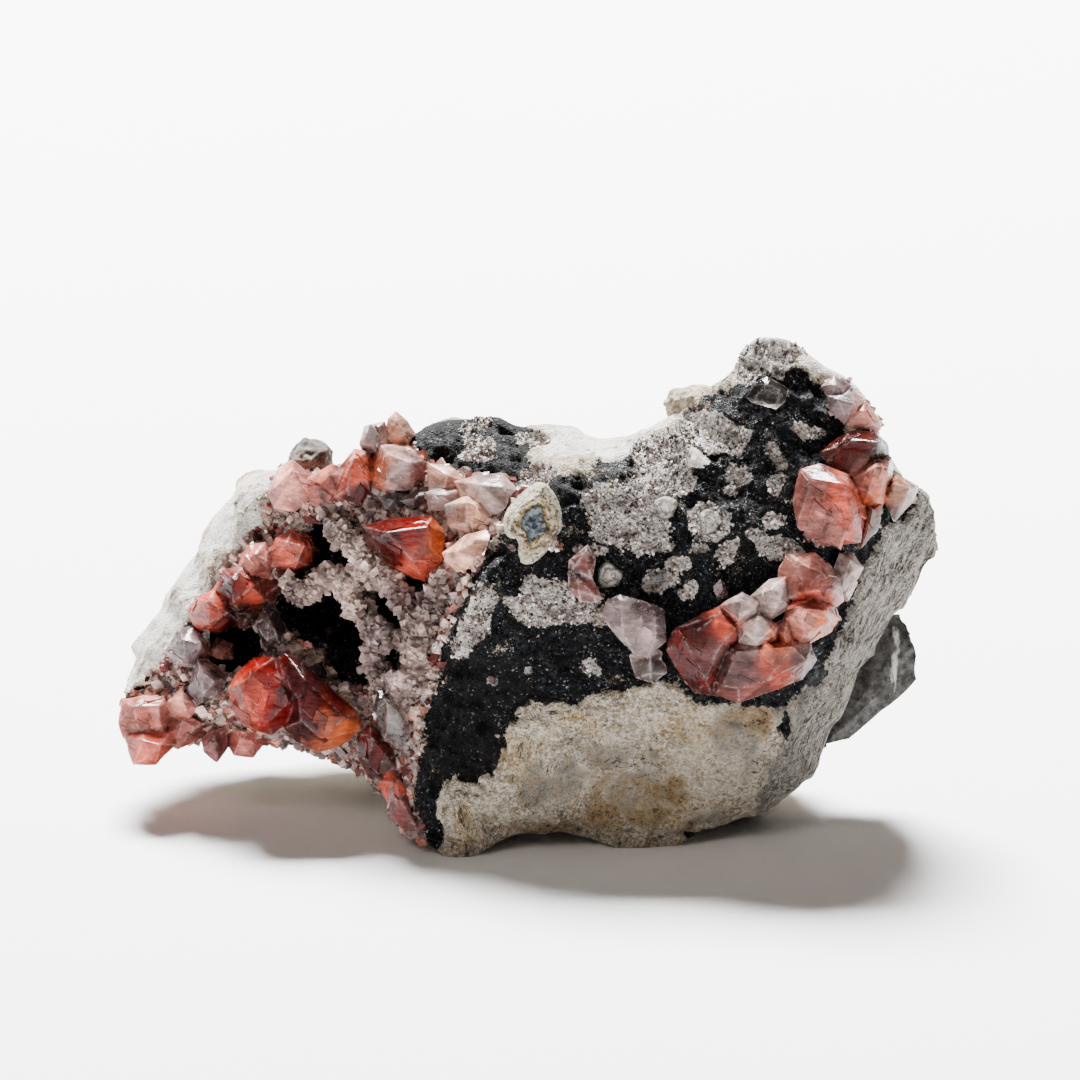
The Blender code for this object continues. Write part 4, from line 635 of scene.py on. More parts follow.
# %% Frayed places, and how far a point belongs to the front
FRAY, STAIN_U, STAIN_V = 0.75, 2.3, 1.7
show_u, show_v, show_w = np.moveaxis(rock, -1, 0)
upward = np.clip(skin_normals(rock, 5)[..., 1], 0.0, 1.0)
fray_u = show_u + FRAY * layered_noise(rock, 2.3, 31, 4) + 0.6 * upward * layered_noise(rock, 3.6, 35)
fray_v = show_v + FRAY * layered_noise(rock, 2.3, 57, 4)
stain_u = show_u + STAIN_U * layered_noise(rock, 4.2, 131)
stain_v = show_v + STAIN_V * layered_noise(rock, 4.2, 157)
behind = np.where(is_back, np.clip(rim_w - show_w, 0.0, 40.0), 0.0)
front_share = smooth_step(1.0 - (behind + 1.2 * lattice_noise(rock, 3.0, 41)) / 2.4)
back_share = 1.0 - front_share
right_share = smooth_step(0.5 + across_ridge(show_u, show_v) / 1.5)
print("front share:", front_share.mean().round(2), "right share:", right_share.mean().round(2))

# %% Masks of the black coat, the hollows and the crust of the left lobe
HOLLOW_SPREAD = 1.15
face_black = zone_mask(fray_u, fray_v, BLACK_FACE, 0.5)
cap_black = zone_mask(fray_u, fray_v, BLACK_CAP, 0.5)
hollow_spots = [(spot[0], spot[1], HOLLOW_SPREAD * spot[2], HOLLOW_SPREAD * spot[3]) for spot in HOLLOWS]
hollow = spots_mask(show_u, show_v, hollow_spots, 0.4)
band_black = smooth_step(1.0 - (line_distance(fray_u, fray_v, RIM_BAND) - RIM_BAND_WIDTH) / 0.4)
spot_black = spots_mask(fray_u, fray_v, BLACK_SPOTS)
crust = zone_mask(fray_u, fray_v, LEFT_CRUST, 0.8) * (1.0 - hollow) * front_share
crust = crust * (1.0 - cap_black) * (1.0 - right_share)
black = np.maximum.reduce([face_black, cap_black, hollow, band_black, spot_black]) * front_share
black = black * (1.0 - crust)
black = np.maximum(black, 0.8 * noise_mask(rock, 9.0, 71, 0.45, 0.3) * back_share)
print("hollows cover", round(100 * float(hollow.mean()), 1), "% of the grid")

# %% Masks of the patches, white crust with painted highlight, grey rim and stains
druse = spots_mask(fray_u, fray_v, DRUSE_SPOTS) * front_share
# White on the top and at the left end: partly pale crust and rock, partly painted highlight where the light
# falls brightest.
top_white_and_highlight = zone_mask(fray_u, fray_v, WHITE_TOP_AND_HIGHLIGHT, 1.4) * front_share * (1.0 - druse) * (1.0 - face_black)
left_white_and_highlight = smooth_step((-23.0 - show_u) / 3.0) * (1.0 - crust) * (1.0 - black) * front_share
left_white_and_highlight = left_white_and_highlight * np.clip(0.75 + 0.7 * layered_noise(rock, 3.0, 171), 0.0, 1.0)
spot_white = spots_mask(fray_u, fray_v, WHITE_SPOTS) * front_share
white = np.maximum.reduce([spot_white, 0.85 * top_white_and_highlight, left_white_and_highlight])
rim = zone_mask(fray_u, fray_v, GREY_RIM, 1.6) * (1.0 - black) * smooth_step(1.0 - behind / 14.0)
ochre = np.maximum(spots_mask(stain_u, stain_v, OCHRE_SPOTS, 0.9) * front_share,
                   noise_mask(rock, 6.0, 83, 0.1, 0.6) * back_share)
brown = spots_mask(stain_u, stain_v, BROWN_SPOTS, 1.1) * front_share
grey = np.maximum(spots_mask(stain_u, stain_v, GREY_SPOTS, 0.9) * front_share,
                  noise_mask(rock, 8.0, 97, 0.2, 0.5) * back_share)
matt = spots_mask(show_u, show_v, MATT_SPOTS, 0.5)
masks = {"black": black, "druse": druse, "crust": crust, "white": white, "rim": rim,
         "ochre": ochre, "brown": brown, "grey": grey, "matt": matt}
for name, mask in masks.items():
    print(name, "covers", round(100 * float(mask.mean()), 1), "% of the grid")

# %% [markdown]
# ## Fine relief
# Each zone has its own roughness. The black coat is botryoidal: small glossy knobs with smaller
# ones on them. The druse patches stand a little proud and are grainy. The bare rock is pitted
# along its layers, which follow the border of the black coat, and the rim shows its layers as
# ridges. Bump in a material could fake the finest of it, but not the outline or the shadows, so
# the relief is real: a height in millimetres along the normal, mixed by the masks.

# %% Lumps, and coordinates that follow the layers
RIM_DIRECTION = math.radians(59)
LUMP_SHARE = 0.8
lump_height = np.zeros(show_u.shape)
for cu, cv, half_u, half_v, height in FACE_LUMPS:
    reach = np.hypot((show_u - cu) / half_u, (show_v - cv) / half_v)
    lump_height = np.maximum(lump_height, LUMP_SHARE * height * np.sqrt(np.clip(1.0 - reach ** 2, 0.0, 1.0)))
lump_height = lump_height * front_share

border = inside_distance(show_u, show_v, BLACK_FACE)
layer_across = show_v * math.cos(RIM_DIRECTION) - show_u * math.sin(RIM_DIRECTION)
layer_along = show_u * math.cos(RIM_DIRECTION) + show_v * math.sin(RIM_DIRECTION)
flow_across = np.where(is_back, show_v, border) * (1.0 - rim) + layer_across * rim
flow_along = np.where(is_back, show_u, show_u + 0.3 * show_v) * (1.0 - rim) + layer_along * rim
flow_across = flow_across + 0.4 * lattice_noise(rock, 3.0, 91)
flow = np.stack([(0.42 - 0.2 * rim) * flow_along, flow_across, 0.6 * show_w], axis=-1)
print("lumps up to", lump_height.max().round(2), "mm")

# %% Relief of each zone
def folds(points, size, seed):
    """Creases where a layered noise passes zero: its size without its sign."""
    return np.abs(layered_noise(points, size, seed))


# Each zone: pattern, height in millimetres, size in millimetres, seed.
COAT_KNOBS = [(knobs, 0.55, 1.6, 5), (knobs, 0.26, 0.75, 6), (layered_noise, 0.22, 1.4, 8)]
COAT_FOLDS = [(folds, 0.95, 2.4, 9), (folds, 0.35, 0.9, 10)]
DRUSE_GRAIN = [(knobs, 0.34, 1.1, 12), (knobs, 0.18, 0.55, 13)]
WHITE_KNOBS = [(knobs, 0.18, 1.6, 19), (layered_noise, 0.06, 0.8, 20)]
CRUST_KNOBS = [(knobs, 0.30, 1.3, 22), (knobs, 0.15, 0.7, 23)]
DRUSE_PROUD, MATT_SMOOTHING = 0.30, 0.75


def relief_of(points, terms):
    """The sum of some patterns, each times its height."""
    return sum(height * pattern(points, size, seed) for pattern, height, size, seed in terms)


pits = noise_mask(flow, 0.9, 14, 0.3, 0.35)
bare_height = 0.24 * layered_noise(rock, 2.2, 15) - 0.52 * pits + 0.28 * layered_noise(flow, 1.6, 16)
layer_height = 0.50 * layered_noise(flow, 1.3, 18) - 0.22 * pits
back_height = 0.35 * layered_noise(rock, 3.0, 25) + 0.2 * layered_noise(flow, 1.6, 26)
coat_height = relief_of(rock, COAT_KNOBS) * (1.0 - MATT_SMOOTHING * matt) + relief_of(rock, COAT_FOLDS) * matt
zone_heights = [(black, coat_height), (white, relief_of(rock, WHITE_KNOBS)),
                (druse, DRUSE_PROUD + relief_of(rock, DRUSE_GRAIN)), (crust, relief_of(rock, CRUST_KNOBS))]
print("pits cover", round(100 * float(pits.mean()), 1), "% of the grid")

# %% The relief mixed and laid on
RIM_CALM, RIM_CALM_REACH = 0.8, 1.2
relief = bare_height * (1.0 - rim) + layer_height * rim
for mask, height in zone_heights:
    relief = relief + mask * (height - relief)
relief = relief + back_height * back_share + lump_height
sheltered = smooth_step(distance / RIM_CALM_REACH) * RIM_CALM + (1.0 - RIM_CALM)
rock = rock + skin_normals(rock, 4) * (relief * sheltered)[..., None]
print("relief from", relief.min().round(2), "to", relief.max().round(2), "mm")

# %% Settle the underside on the floor and keep inside the frame's box
BOX_MARGIN = 0.00002
DENT_SIZE, DENT_DEPTH, FOOT_BLEND = 8.0, 1.6, 3.0


def settle_on_floor(world):
    """Flatten the underside, onto the floor at the feet and onto shallow dents between them."""
    spot = np.stack([world[..., 0], world[..., 1], world[..., 0] * 0.0], axis=-1) / MM
    dent = np.clip(lattice_noise(spot, DENT_SIZE, 11) * 2.0 + 0.7, 0.0, DENT_DEPTH) * MM
    for foot_x, foot_y, radius in FEET:
        away = np.hypot(spot[..., 0] - foot_x, spot[..., 1] - foot_y)
        dent = dent * smooth_step((away - radius) / FOOT_BLEND)
    world[..., 2] = np.maximum(world[..., 2], dent)
    return world


def inside_box(world, margin=BOX_MARGIN):
    """Keep points a hair inside the frame's box."""
    return np.clip(world, cad_low + margin, cad_high - margin)


rock_world = inside_box(settle_on_floor(to_world(rock)))
rock = to_show(rock_world)
rock_normal = skin_normals(rock)
print("lowest point in mm:", round(float(rock_world[..., 2].min() / MM), 3))

# %% [markdown]
# ## From arrays to a mesh
# One helper turns arrays into a finished piece: points, faces, material, the body it rides on and
# the solids it stands for. Point attributes carry the masks to the material: a UV map would have
# to be unwrapped first. A second helper closes a stack of rings into a skin, which serves for the
# rock, for tubes, for balls and for domes alike.

# %% A helper for every piece
def add_attribute(mesh, name, values):
    """A value, a vector or a colour for every point, by the shape of the array."""
    values = np.asarray(values, np.float32)
    width = 1 if values.ndim == 1 else values.shape[1]
    kind, key = {1: ("FLOAT", "value"), 3: ("FLOAT_VECTOR", "vector"), 4: ("FLOAT_COLOR", "color")}[width]
    mesh.attributes.new(name, kind, "POINT").data.foreach_set(key, values.ravel())


def make_piece(name, points, faces, material, replaced=(), attributes=None, crease=None):
    """A mesh object at the origin from show-plane points and arrays of faces, riding on the root.

    Shading is smooth, but for edges that turn more than the crease angle (0: flat all over).
    """
    mesh = bpy.data.meshes.new(name)
    corners = [face for block in faces for face in block.tolist()]
    mesh.from_pydata(inside_box(to_world(points)).tolist(), [], corners)
    for key, values in (attributes or {}).items():
        add_attribute(mesh, key, values)
    mesh.polygons.foreach_set("use_smooth", np.full(len(mesh.polygons), crease != 0))
    if crease:
        mesh.set_sharp_from_angle(angle=math.radians(crease))
    mesh.materials.append(material)
    mesh.update()
    piece = bpy.data.objects.new(name, mesh)
    bpy.context.scene.collection.objects.link(piece)
    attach(piece, "root")
    if replaced:
        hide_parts(*replaced)
    print(name, len(corners), "faces")
    return piece


print("frame box in mm:", np.round(cad_low / MM, 2), np.round(cad_high / MM, 2))

# %% A helper for skins made of rings
def closed_rings(rings, ends=None):
    """Points and faces of a closed skin: quads between the rings, and a fan over each end.

    A fan's middle is the mean of its ring, or is given. Faces point out where the rings turn
    anticlockwise, seen from the first ring towards the last.
    """
    count, around = rings.shape[:2]
    ring, spot = np.meshgrid(np.arange(count - 1), np.arange(around), indexing="ij")
    after = (spot + 1) % around
    low, high = ring * around, (ring + 1) * around
    quads = np.stack([high + spot, high + after, low + after, low + spot], axis=-1).reshape(-1, 4)
    spot, after, last = spot[0], after[0], (count - 1) * around
    ends = rings[[0, -1]].mean(axis=1) if ends is None else ends
    first_fan = np.stack([spot, after, np.full(around, count * around)], axis=-1)
    last_fan = np.stack([last + after, last + spot, np.full(around, count * around + 1)], axis=-1)
    return np.concatenate([rings.reshape(-1, 3), ends]), [quads, first_fan, last_fan]


rock_points, rock_faces = closed_rings(rock)
print("rock skin:", len(rock_points), "points,", sum(len(block) for block in rock_faces), "faces")

# %% [markdown]
# ## Helpers for procedural materials
# Materials read the piece's own attributes or its Object coordinates, which are metres here, so a
# noise scale of 1000 makes features a millimetre across. The trees could be wired node by node,
# but a few small helpers keep them short. Some make patterns: noise, cells and mottling. Some work
# on values: a remap from one range to another, arithmetic, and a share of a mask. Two lay one
# colour over another, and one makes bump.

# %% Node helpers for patterns
def attribute(tree, name, output="Fac"):
    """A point attribute of the piece."""
    return node(tree, "ShaderNodeAttribute", attribute_name=name).outputs[output]


def noise(tree, place, scale, detail=4.0, rough=0.6):
    """Noise around 0.5: features of 1/scale metres, with so many finer layers on them."""
    values = {"Scale": scale, "Detail": detail, "Roughness": rough}
    return node(tree, "ShaderNodeTexNoise", values, {"Vector": place}).outputs["Fac"]


def cells(tree, place, scale):
    """Cells 1/scale metres across, each with a random colour."""
    return node(tree, "ShaderNodeTexVoronoi", {"Scale": scale}, {"Vector": place})


def remap(tree, value, low, high, to_low=0.0, to_high=1.0):
    """The value, spread from low..high to to_low..to_high, and held there beyond."""
    values = {"From Min": low, "From Max": high, "To Min": to_low, "To Max": to_high}
    return node(tree, "ShaderNodeMapRange", values, {"Value": value}).outputs[0]


def mottle(tree, place, pattern, band, reach=(0.0, 1.0)):
    """Noise (scale, detail, roughness), remapped from a band of its values to a reach."""
    return remap(tree, noise(tree, place, *pattern), *band, *reach)


print("features of a noise of scale 1000 are", 1.0 / 1000 / MM, "mm across")


# %% Node helpers for arithmetic
def feed(tree, target, value):
    """Link an output to an input, or set the input to a number or a colour."""
    if isinstance(value, bpy.types.NodeSocket):
        tree.links.new(value, target)
    else:
        target.default_value = (*value, 1.0) if isinstance(value, tuple) else value


def combine(tree, operation, first, second):
    """Arithmetic on two values; each is a number or an output."""
    made = node(tree, "ShaderNodeMath", operation=operation)
    feed(tree, made.inputs[0], first)
    feed(tree, made.inputs[1], second)
    return made.outputs[0]


def part_of(tree, name, share):
    """An attribute times a share."""
    return combine(tree, "MULTIPLY", attribute(tree, name), share)


print("arithmetic used: add, subtract, multiply, maximum")

# %% Node helpers for colour and bump
def blend(tree, share, first, second):
    """The colour that goes from first to second as share goes from 0 to 1."""
    made = node(tree, "ShaderNodeMix", data_type="RGBA")
    for key, value in (("Factor_Float", share), ("A_Color", first), ("B_Color", second)):
        target = next(socket for socket in made.inputs if socket.identifier == key)
        feed(tree, target, value)
    return made.outputs[2]


def lay_over(tree, colour, coats):
    """Coats laid over a colour in turn: each is a share and the colour that it brings."""
    for share, coat in coats:
        colour = blend(tree, share, colour, coat)
    return colour


def bump(tree, shader, height, depth, strength=1.0):
    """Fine relief for the shader: height 0..1 over depth metres."""
    made = node(tree, "ShaderNodeBump", {"Strength": strength, "Distance": depth}, {"Height": height})
    tree.links.new(made.outputs[0], shader.inputs["Normal"])


print("materials so far:", [material.name for material in bpy.data.materials])

# %% [markdown]
# ## The skin of the rock
# On the real piece the skins run into each other. A material slot for each would leave hard
# borders along the faces, so one material paints them all by the masks. It starts from cream rock
# with grey, ochre and brown stains, then lays on the layers of the rim, painted shade in the pits,
# the crystal crust, the black coat with its glints and painted shade in its matt folds, the white
# crust, which is partly painted highlight on the top and at the left end, and the druse patches. A
# matt look comes from high roughness and a low specular level: broken rock throws almost no mirror
# light, and the black coat only from its smallest facets.

# %% Colours of the rock
# The pit colour is painted shade: the shadow in the small pits of the bare rock.
ROCK = {
    "cream": (0.42, 0.36, 0.28), "cream_light": (0.86, 0.81, 0.72), "cream_dark": (0.165, 0.125, 0.082),
    "painted_pit_shade": (0.045, 0.033, 0.022), "ochre": (0.25, 0.150, 0.062), "brown": (0.060, 0.037, 0.019),
    "ochre_light": (0.58, 0.43, 0.23), "charcoal": (0.0080, 0.0080, 0.0084), "grain": (0.021, 0.023, 0.026),
    "grey": (0.17, 0.175, 0.18), "rim": (0.27, 0.25, 0.225), "rim_dark": (0.050, 0.038, 0.028),
    "white": (0.90, 0.86, 0.79), "white_shade": (0.58, 0.53, 0.45),
    "black": (0.0024, 0.0026, 0.0030), "black_light": (0.0095, 0.0105, 0.0120), "glint": (0.40, 0.42, 0.45),
    "rust": (0.20, 0.07, 0.015), "druse": (0.34, 0.295, 0.265), "druse_light": (0.74, 0.69, 0.65),
    "druse_dark": (0.018, 0.012, 0.009), "crust": (0.56, 0.39, 0.34), "crust_dark": (0.07, 0.040, 0.032),
}


def specks(tree, name, pattern, level, gain=0.16, soft=0.04):
    """Crisp specks where a pattern passes a level, and closer together where a mask is high."""
    total = combine(tree, "ADD", part_of(tree, name, gain), pattern)
    return remap(tree, total, level, level + soft)


def frayed(tree, name, pattern, gain):
    """A crisp mask whose border is torn by a pattern; far outside the mask it stays empty."""
    mask = attribute(tree, name)
    ragged = combine(tree, "MULTIPLY", combine(tree, "SUBTRACT", pattern, 0.5), gain)
    ragged = combine(tree, "MULTIPLY", ragged, remap(tree, mask, 0.0, 0.35))
    return remap(tree, combine(tree, "ADD", mask, ragged), 0.42, 0.54)


rock_material, rock_tree, rock_shader = new_material("rock_skin", {"Specular IOR Level": 0.12})
place, flow_place = object_place(rock_tree), attribute(rock_tree, "flow", "Vector")
rock_grain = noise(rock_tree, place, 2300.0, 6.0, 0.8)
fine_streaks = noise(rock_tree, flow_place, 5.2, 5.0, 0.8)
print("colours of the rock:", len(ROCK))

# %% Bare rock: cream with stains, the layered rim, painted shade in pits along the layers
def stained_cream(tree, place, grain):
    """Cream rock, darker and lighter by noise, with grey, ochre and brown stains and specks."""
    ochre_pattern = noise(tree, place, 1500.0, 6.0, 0.85)
    base = blend(tree, mottle(tree, place, (260.0, 5.0), (0.38, 0.58)), ROCK["cream_dark"], ROCK["cream"])
    return lay_over(tree, base, [
        (mottle(tree, place, (760.0, 5.0, 0.7), (0.54, 0.64), (0.0, 0.7)), ROCK["cream_dark"]),
        (remap(tree, grain, 0.46, 0.60), ROCK["cream_light"]),
        (part_of(tree, "grey", 0.15), ROCK["grey"]),
        (specks(tree, "grey", grain, 0.60, 0.12), ROCK["grey"]),
        (part_of(tree, "ochre", 0.3), ROCK["ochre_light"]),
        (specks(tree, "ochre", ochre_pattern, 0.585, 0.075), ROCK["ochre"]),
        (part_of(tree, "brown", 0.6), ROCK["ochre"]),
        (specks(tree, "brown", grain, 0.66, 0.15), ROCK["brown"]),
    ])


def layers_and_pit_shade(tree, colour, place, flow, streaks):
    """The grey layers of the rim, then warm streaks, and painted shade in clustered pits along all layers."""
    layers = mottle(tree, flow, (2.4, 6.0, 0.8), (0.44, 0.57))
    rim_colour = blend(tree, layers, ROCK["rim_dark"], ROCK["rim"])
    rim_colour = blend(tree, remap(tree, streaks, 0.52, 0.60), rim_colour, ROCK["cream_light"])
    warm = combine(tree, "SUBTRACT", remap(tree, streaks, 0.50, 0.56, 0.0, 0.45), attribute(tree, "rim"))
    # Pits: dark marks of painted shade along the layers, in clusters.
    pits = combine(tree, "MAXIMUM", remap(tree, streaks, 0.56, 0.62, 0.0, 0.95),
                   mottle(tree, flow, (2.3, 5.0, 0.8), (0.57, 0.61)))
    clusters = mottle(tree, place, (330.0, 4.0, 0.7), (0.42, 0.54), (0.30, 1.0))
    pits = combine(tree, "MULTIPLY", pits, combine(tree, "MAXIMUM", clusters, attribute(tree, "rim")))
    return lay_over(tree, colour, [
        (attribute(tree, "rim"), rim_colour),
        (remap(tree, warm, 0.0, 1.0), ROCK["ochre_light"]),
        (pits, ROCK["painted_pit_shade"]),
    ])


bare_rock = stained_cream(rock_tree, place, rock_grain)
bare_rock = layers_and_pit_shade(rock_tree, bare_rock, place, flow_place, fine_streaks)
print("nodes for the bare rock:", len(rock_tree.nodes))

# %% Glints of the black coat
# Cells of two sizes: scale, and the level that few of their random values pass.
SPARK_CELLS = [(8200.0, 0.955), (4600.0, 0.98)]
sparks = 0.0
for scale, pick in SPARK_CELLS:
    spark_cells = cells(rock_tree, place, scale)
    chance = node(rock_tree, "ShaderNodeSeparateColor", links={"Color": spark_cells.outputs["Color"]})
    sparks = combine(rock_tree, "MAXIMUM", sparks, remap(rock_tree, chance.outputs[0], pick, pick + 0.01))
spark_clusters = mottle(rock_tree, place, (650.0, 4.0, 0.7), (0.47, 0.58))
lively = remap(rock_tree, attribute(rock_tree, "matt"), 0.0, 1.0, 1.0, 0.3)
sparks = combine(rock_tree, "MULTIPLY", sparks, combine(rock_tree, "MULTIPLY", spark_clusters, lively))
print("nodes with the glints:", len(rock_tree.nodes))

# %% The coat and the crusts over the rock
def black_coat(tree, place, flow, glint):
    """Black with a faint grain, painted shade in its folds where it is matt, rusty specks and glints."""
    light = mottle(tree, place, (1500.0, 4.0, 0.7), (0.48, 0.70))
    base = blend(tree, light, ROCK["black"], ROCK["black_light"])
    # Where the coat is matt, darker bands of painted shade stand for its folds.
    painted_fold_shade = mottle(tree, flow, (1.7, 5.0, 0.7), (0.44, 0.60))
    matt_coat_with_fold_shade = blend(tree, painted_fold_shade, ROCK["black"], ROCK["charcoal"])
    rust_pattern = noise(tree, place, 900.0, 5.0, 0.75)
    return lay_over(tree, base, [
        (remap(tree, cells(tree, place, 3100.0).outputs["Color"], 0.62, 0.85), ROCK["grain"]),
        (attribute(tree, "matt"), matt_coat_with_fold_shade),
        (specks(tree, "ochre", rust_pattern, 0.66), ROCK["rust"]),
        (glint, ROCK["glint"]),
    ])


def white_crust(tree, place, grain):
    """White, shaded by noise, with ochre grains."""
    light = mottle(tree, place, (800.0, 5.0, 0.7), (0.36, 0.54))
    white = blend(tree, light, ROCK["white_shade"], ROCK["white"])
    return blend(tree, remap(tree, grain, 0.57, 0.63, 0.0, 0.7), white, ROCK["ochre"])


def druse_patch(tree, place, grain):
    """A tint for each cell, paler and warmer in places, with dark gaps between the crystals."""
    base = blend(tree, cells(tree, place, 3300.0).outputs["Color"], ROCK["druse"], ROCK["druse_light"])
    return lay_over(tree, base, [
        (mottle(tree, place, (500.0, 4.0), (0.48, 0.60), (0.0, 0.6)), ROCK["druse_light"]),
        (part_of(tree, "ochre", 0.5), ROCK["ochre_light"]),
        (part_of(tree, "white", 0.75), ROCK["white"]),
        (remap(tree, grain, 0.530, 0.575, 0.0, 0.97), ROCK["druse_dark"]),
    ])


left_crust = blend(rock_tree, mottle(rock_tree, place, (1800.0, 4.0, 0.7), (0.40, 0.58)),
                   ROCK["crust_dark"], ROCK["crust"])
coat_fray = noise(rock_tree, place, 1500.0, 6.0, 0.8)
crust_fray = noise(rock_tree, place, 1300.0, 6.0, 0.85)
# The white laid on here is partly painted highlight on the top and at the left end.
rock_colour = lay_over(rock_tree, bare_rock, [
    (attribute(rock_tree, "crust"), left_crust),
    (frayed(rock_tree, "black", coat_fray, 3.0), black_coat(rock_tree, place, flow_place, sparks)),
    (frayed(rock_tree, "white", crust_fray, 3.0), white_crust(rock_tree, place, rock_grain)),
    (frayed(rock_tree, "druse", crust_fray, 4.5), druse_patch(rock_tree, place, rock_grain)),
])
rock_tree.links.new(rock_colour, rock_shader.inputs["Base Color"])
print("nodes with all colours:", len(rock_tree.nodes))

# %% Gloss and bump of the rock
MATT_ROUGHNESS, GLOSSY_ROUGHNESS = 0.86, 0.20
ROCK_BUMP = 0.00055
open_coat = combine(rock_tree, "SUBTRACT", attribute(rock_tree, "black"), attribute(rock_tree, "druse"))
open_coat = combine(rock_tree, "SUBTRACT", open_coat, attribute(rock_tree, "white"))
glint_share = combine(rock_tree, "MULTIPLY", sparks, remap(rock_tree, open_coat, 0.5, 0.9))
rock_tree.links.new(glint_share, rock_shader.inputs["Metallic"])
gloss = combine(rock_tree, "MULTIPLY", remap(rock_tree, open_coat, 0.3, 0.8), lively)
uneven = mottle(rock_tree, place, (800.0, 2.0), (0.4, 0.65), (0.75, 1.0))
gloss = combine(rock_tree, "MULTIPLY", gloss, uneven)
roughness = remap(rock_tree, gloss, 0.0, 1.0, MATT_ROUGHNESS, GLOSSY_ROUGHNESS)
rock_tree.links.new(roughness, rock_shader.inputs["Roughness"])
dents = combine(rock_tree, "MULTIPLY", spark_cells.outputs["Distance"], -0.5)
fine_height = combine(rock_tree, "ADD", noise(rock_tree, place, 1900.0, 5.0, 0.75), dents)
bump(rock_tree, rock_shader, fine_height, ROCK_BUMP)
print("nodes of the rock material:", len(rock_tree.nodes))

# %% Rock piece
def with_ends(values):
    """Values over the grid as a list of points, with the mean of each end ring for its middle."""
    width = values.shape[2:]
    return np.concatenate([values.reshape(-1, *width), values[[0, -1]].mean(axis=1)])


rock_attributes = {name: with_ends(values) for name, values in {**masks, "flow": flow}.items()}
make_piece("rock_skin", rock_points, rock_faces, rock_material, ["matrix"], rock_attributes)

# %% [markdown]
# ## The large crystals
# Each group of crystals is one grown piece: flat faces, sharp edges, parts running into each
# other. They could be cut anew from planes, but those shapes are in the frame already, as
# flat-faced solids. So a copy of one is merged, cut into small triangles and roughened with low
# growth steps. Two things are then stored on every point: how near it is to a sharp edge, where
# the real crystals are chipped and pale and the edges get a painted highlight, and the tint of
# the crystal it belongs to, taken from the nearest named centre, with painted light and shade from
# facet to facet.

# %% Tints of the crystals
TINT = {
    "deep": (0.066, 0.0036, 0.0028), "gem": (0.17, 0.0030, 0.0015), "coral": (0.50, 0.072, 0.042),
    "pink": (0.44, 0.120, 0.092), "light_pink": (0.68, 0.26, 0.205), "mauve": (0.20, 0.060, 0.055),
    "orange": (0.56, 0.105, 0.032), "peach": (0.76, 0.38, 0.27), "pale": (0.50, 0.36, 0.335),
    "lilac": (0.26, 0.18, 0.185), "brown": (0.050, 0.017, 0.013), "grey": (0.075, 0.045, 0.045),
    "clear": (0.72, 0.68, 0.66), "tan": (0.34, 0.15, 0.10), "purple": (0.055, 0.010, 0.011),
    "smoky": (0.10, 0.085, 0.08), "bone": (0.50, 0.45, 0.41), "bone_dark": (0.13, 0.10, 0.08),
    "blush": (0.84, 0.62, 0.54), "rose": (0.28, 0.090, 0.072), "dusk": (0.11, 0.040, 0.038),
}
print("tints:", len(TINT))

# %% The groups of the right lobe
# Each group: look, slot in the record, longest triangle side in millimetres, and tints at
# centres (u, v) in the show plane.
CRYSTALS = {
    "upper_rim_crystals": ("red", "red_crystal", 0.32, [
        (31, 41.2, "deep"), (33.4, 41.2, "deep"), (35.2, 41.0, "brown"), (33.6, 38.6, "light_pink"),
        (34.6, 36.4, "orange"), (28.4, 37, "rose"), (31.2, 36.4, "coral"), (29.6, 33.4, "rose"),
        (32.4, 33.6, "coral"), (37, 36.4, "tan"), (34.2, 33.2, "brown"), (35.6, 34.6, "brown"),
    ]),
    "lower_rim_crystals": ("red", "red_crystal", 0.32, [
        (26.6, 28.8, "light_pink"), (29, 27.6, "pink"), (28, 26.2, "coral"), (31.8, 28.8, "pale"),
        (27.4, 24.2, "light_pink"), (29.4, 24, "orange"), (17, 23, "deep"), (19.8, 23.6, "coral"),
        (17.4, 18.6, "deep"), (19, 20.4, "dusk"), (21.4, 25.2, "pale"), (22.4, 22.6, "pale"),
        (20.6, 19, "dusk"), (24.8, 21.8, "orange"), (24.6, 19, "coral"), (27, 20, "dusk"),
        (24.2, 26.2, "pale"), (25.4, 22.6, "light_pink"), (22.4, 17.4, "mauve"),
    ]),
    "lilac_rim_crystals": ("pink", "pink_crystal", 0.32, [
        (30.8, 47.2, "lilac"), (31.6, 45.3, "lilac"), (33.4, 44.3, "light_pink"),
    ]),
    "outlined_plate_crystal": ("clear", "clear_crystal", 0.35, [(23.7, 46.6, "smoky")]),
    "pale_plate_crystals": ("pale", "pale_crystal", 0.32, [
        (8.8, 25.6, "lilac"), (9.4, 23.4, "pale"), (11.8, 24.8, "grey"), (12.8, 23.6, "lilac"),
        (11, 21.8, "pale"), (12, 19.4, "brown"),
    ]),
    "curved_plate_crystal": ("plate", "pink_crystal", 0.30, [
        (5, 30.2, "mauve"), (4.2, 28.6, "brown"), (5.4, 26.6, "mauve"),
    ]),
}
print("groups on the right lobe:", len(CRYSTALS))

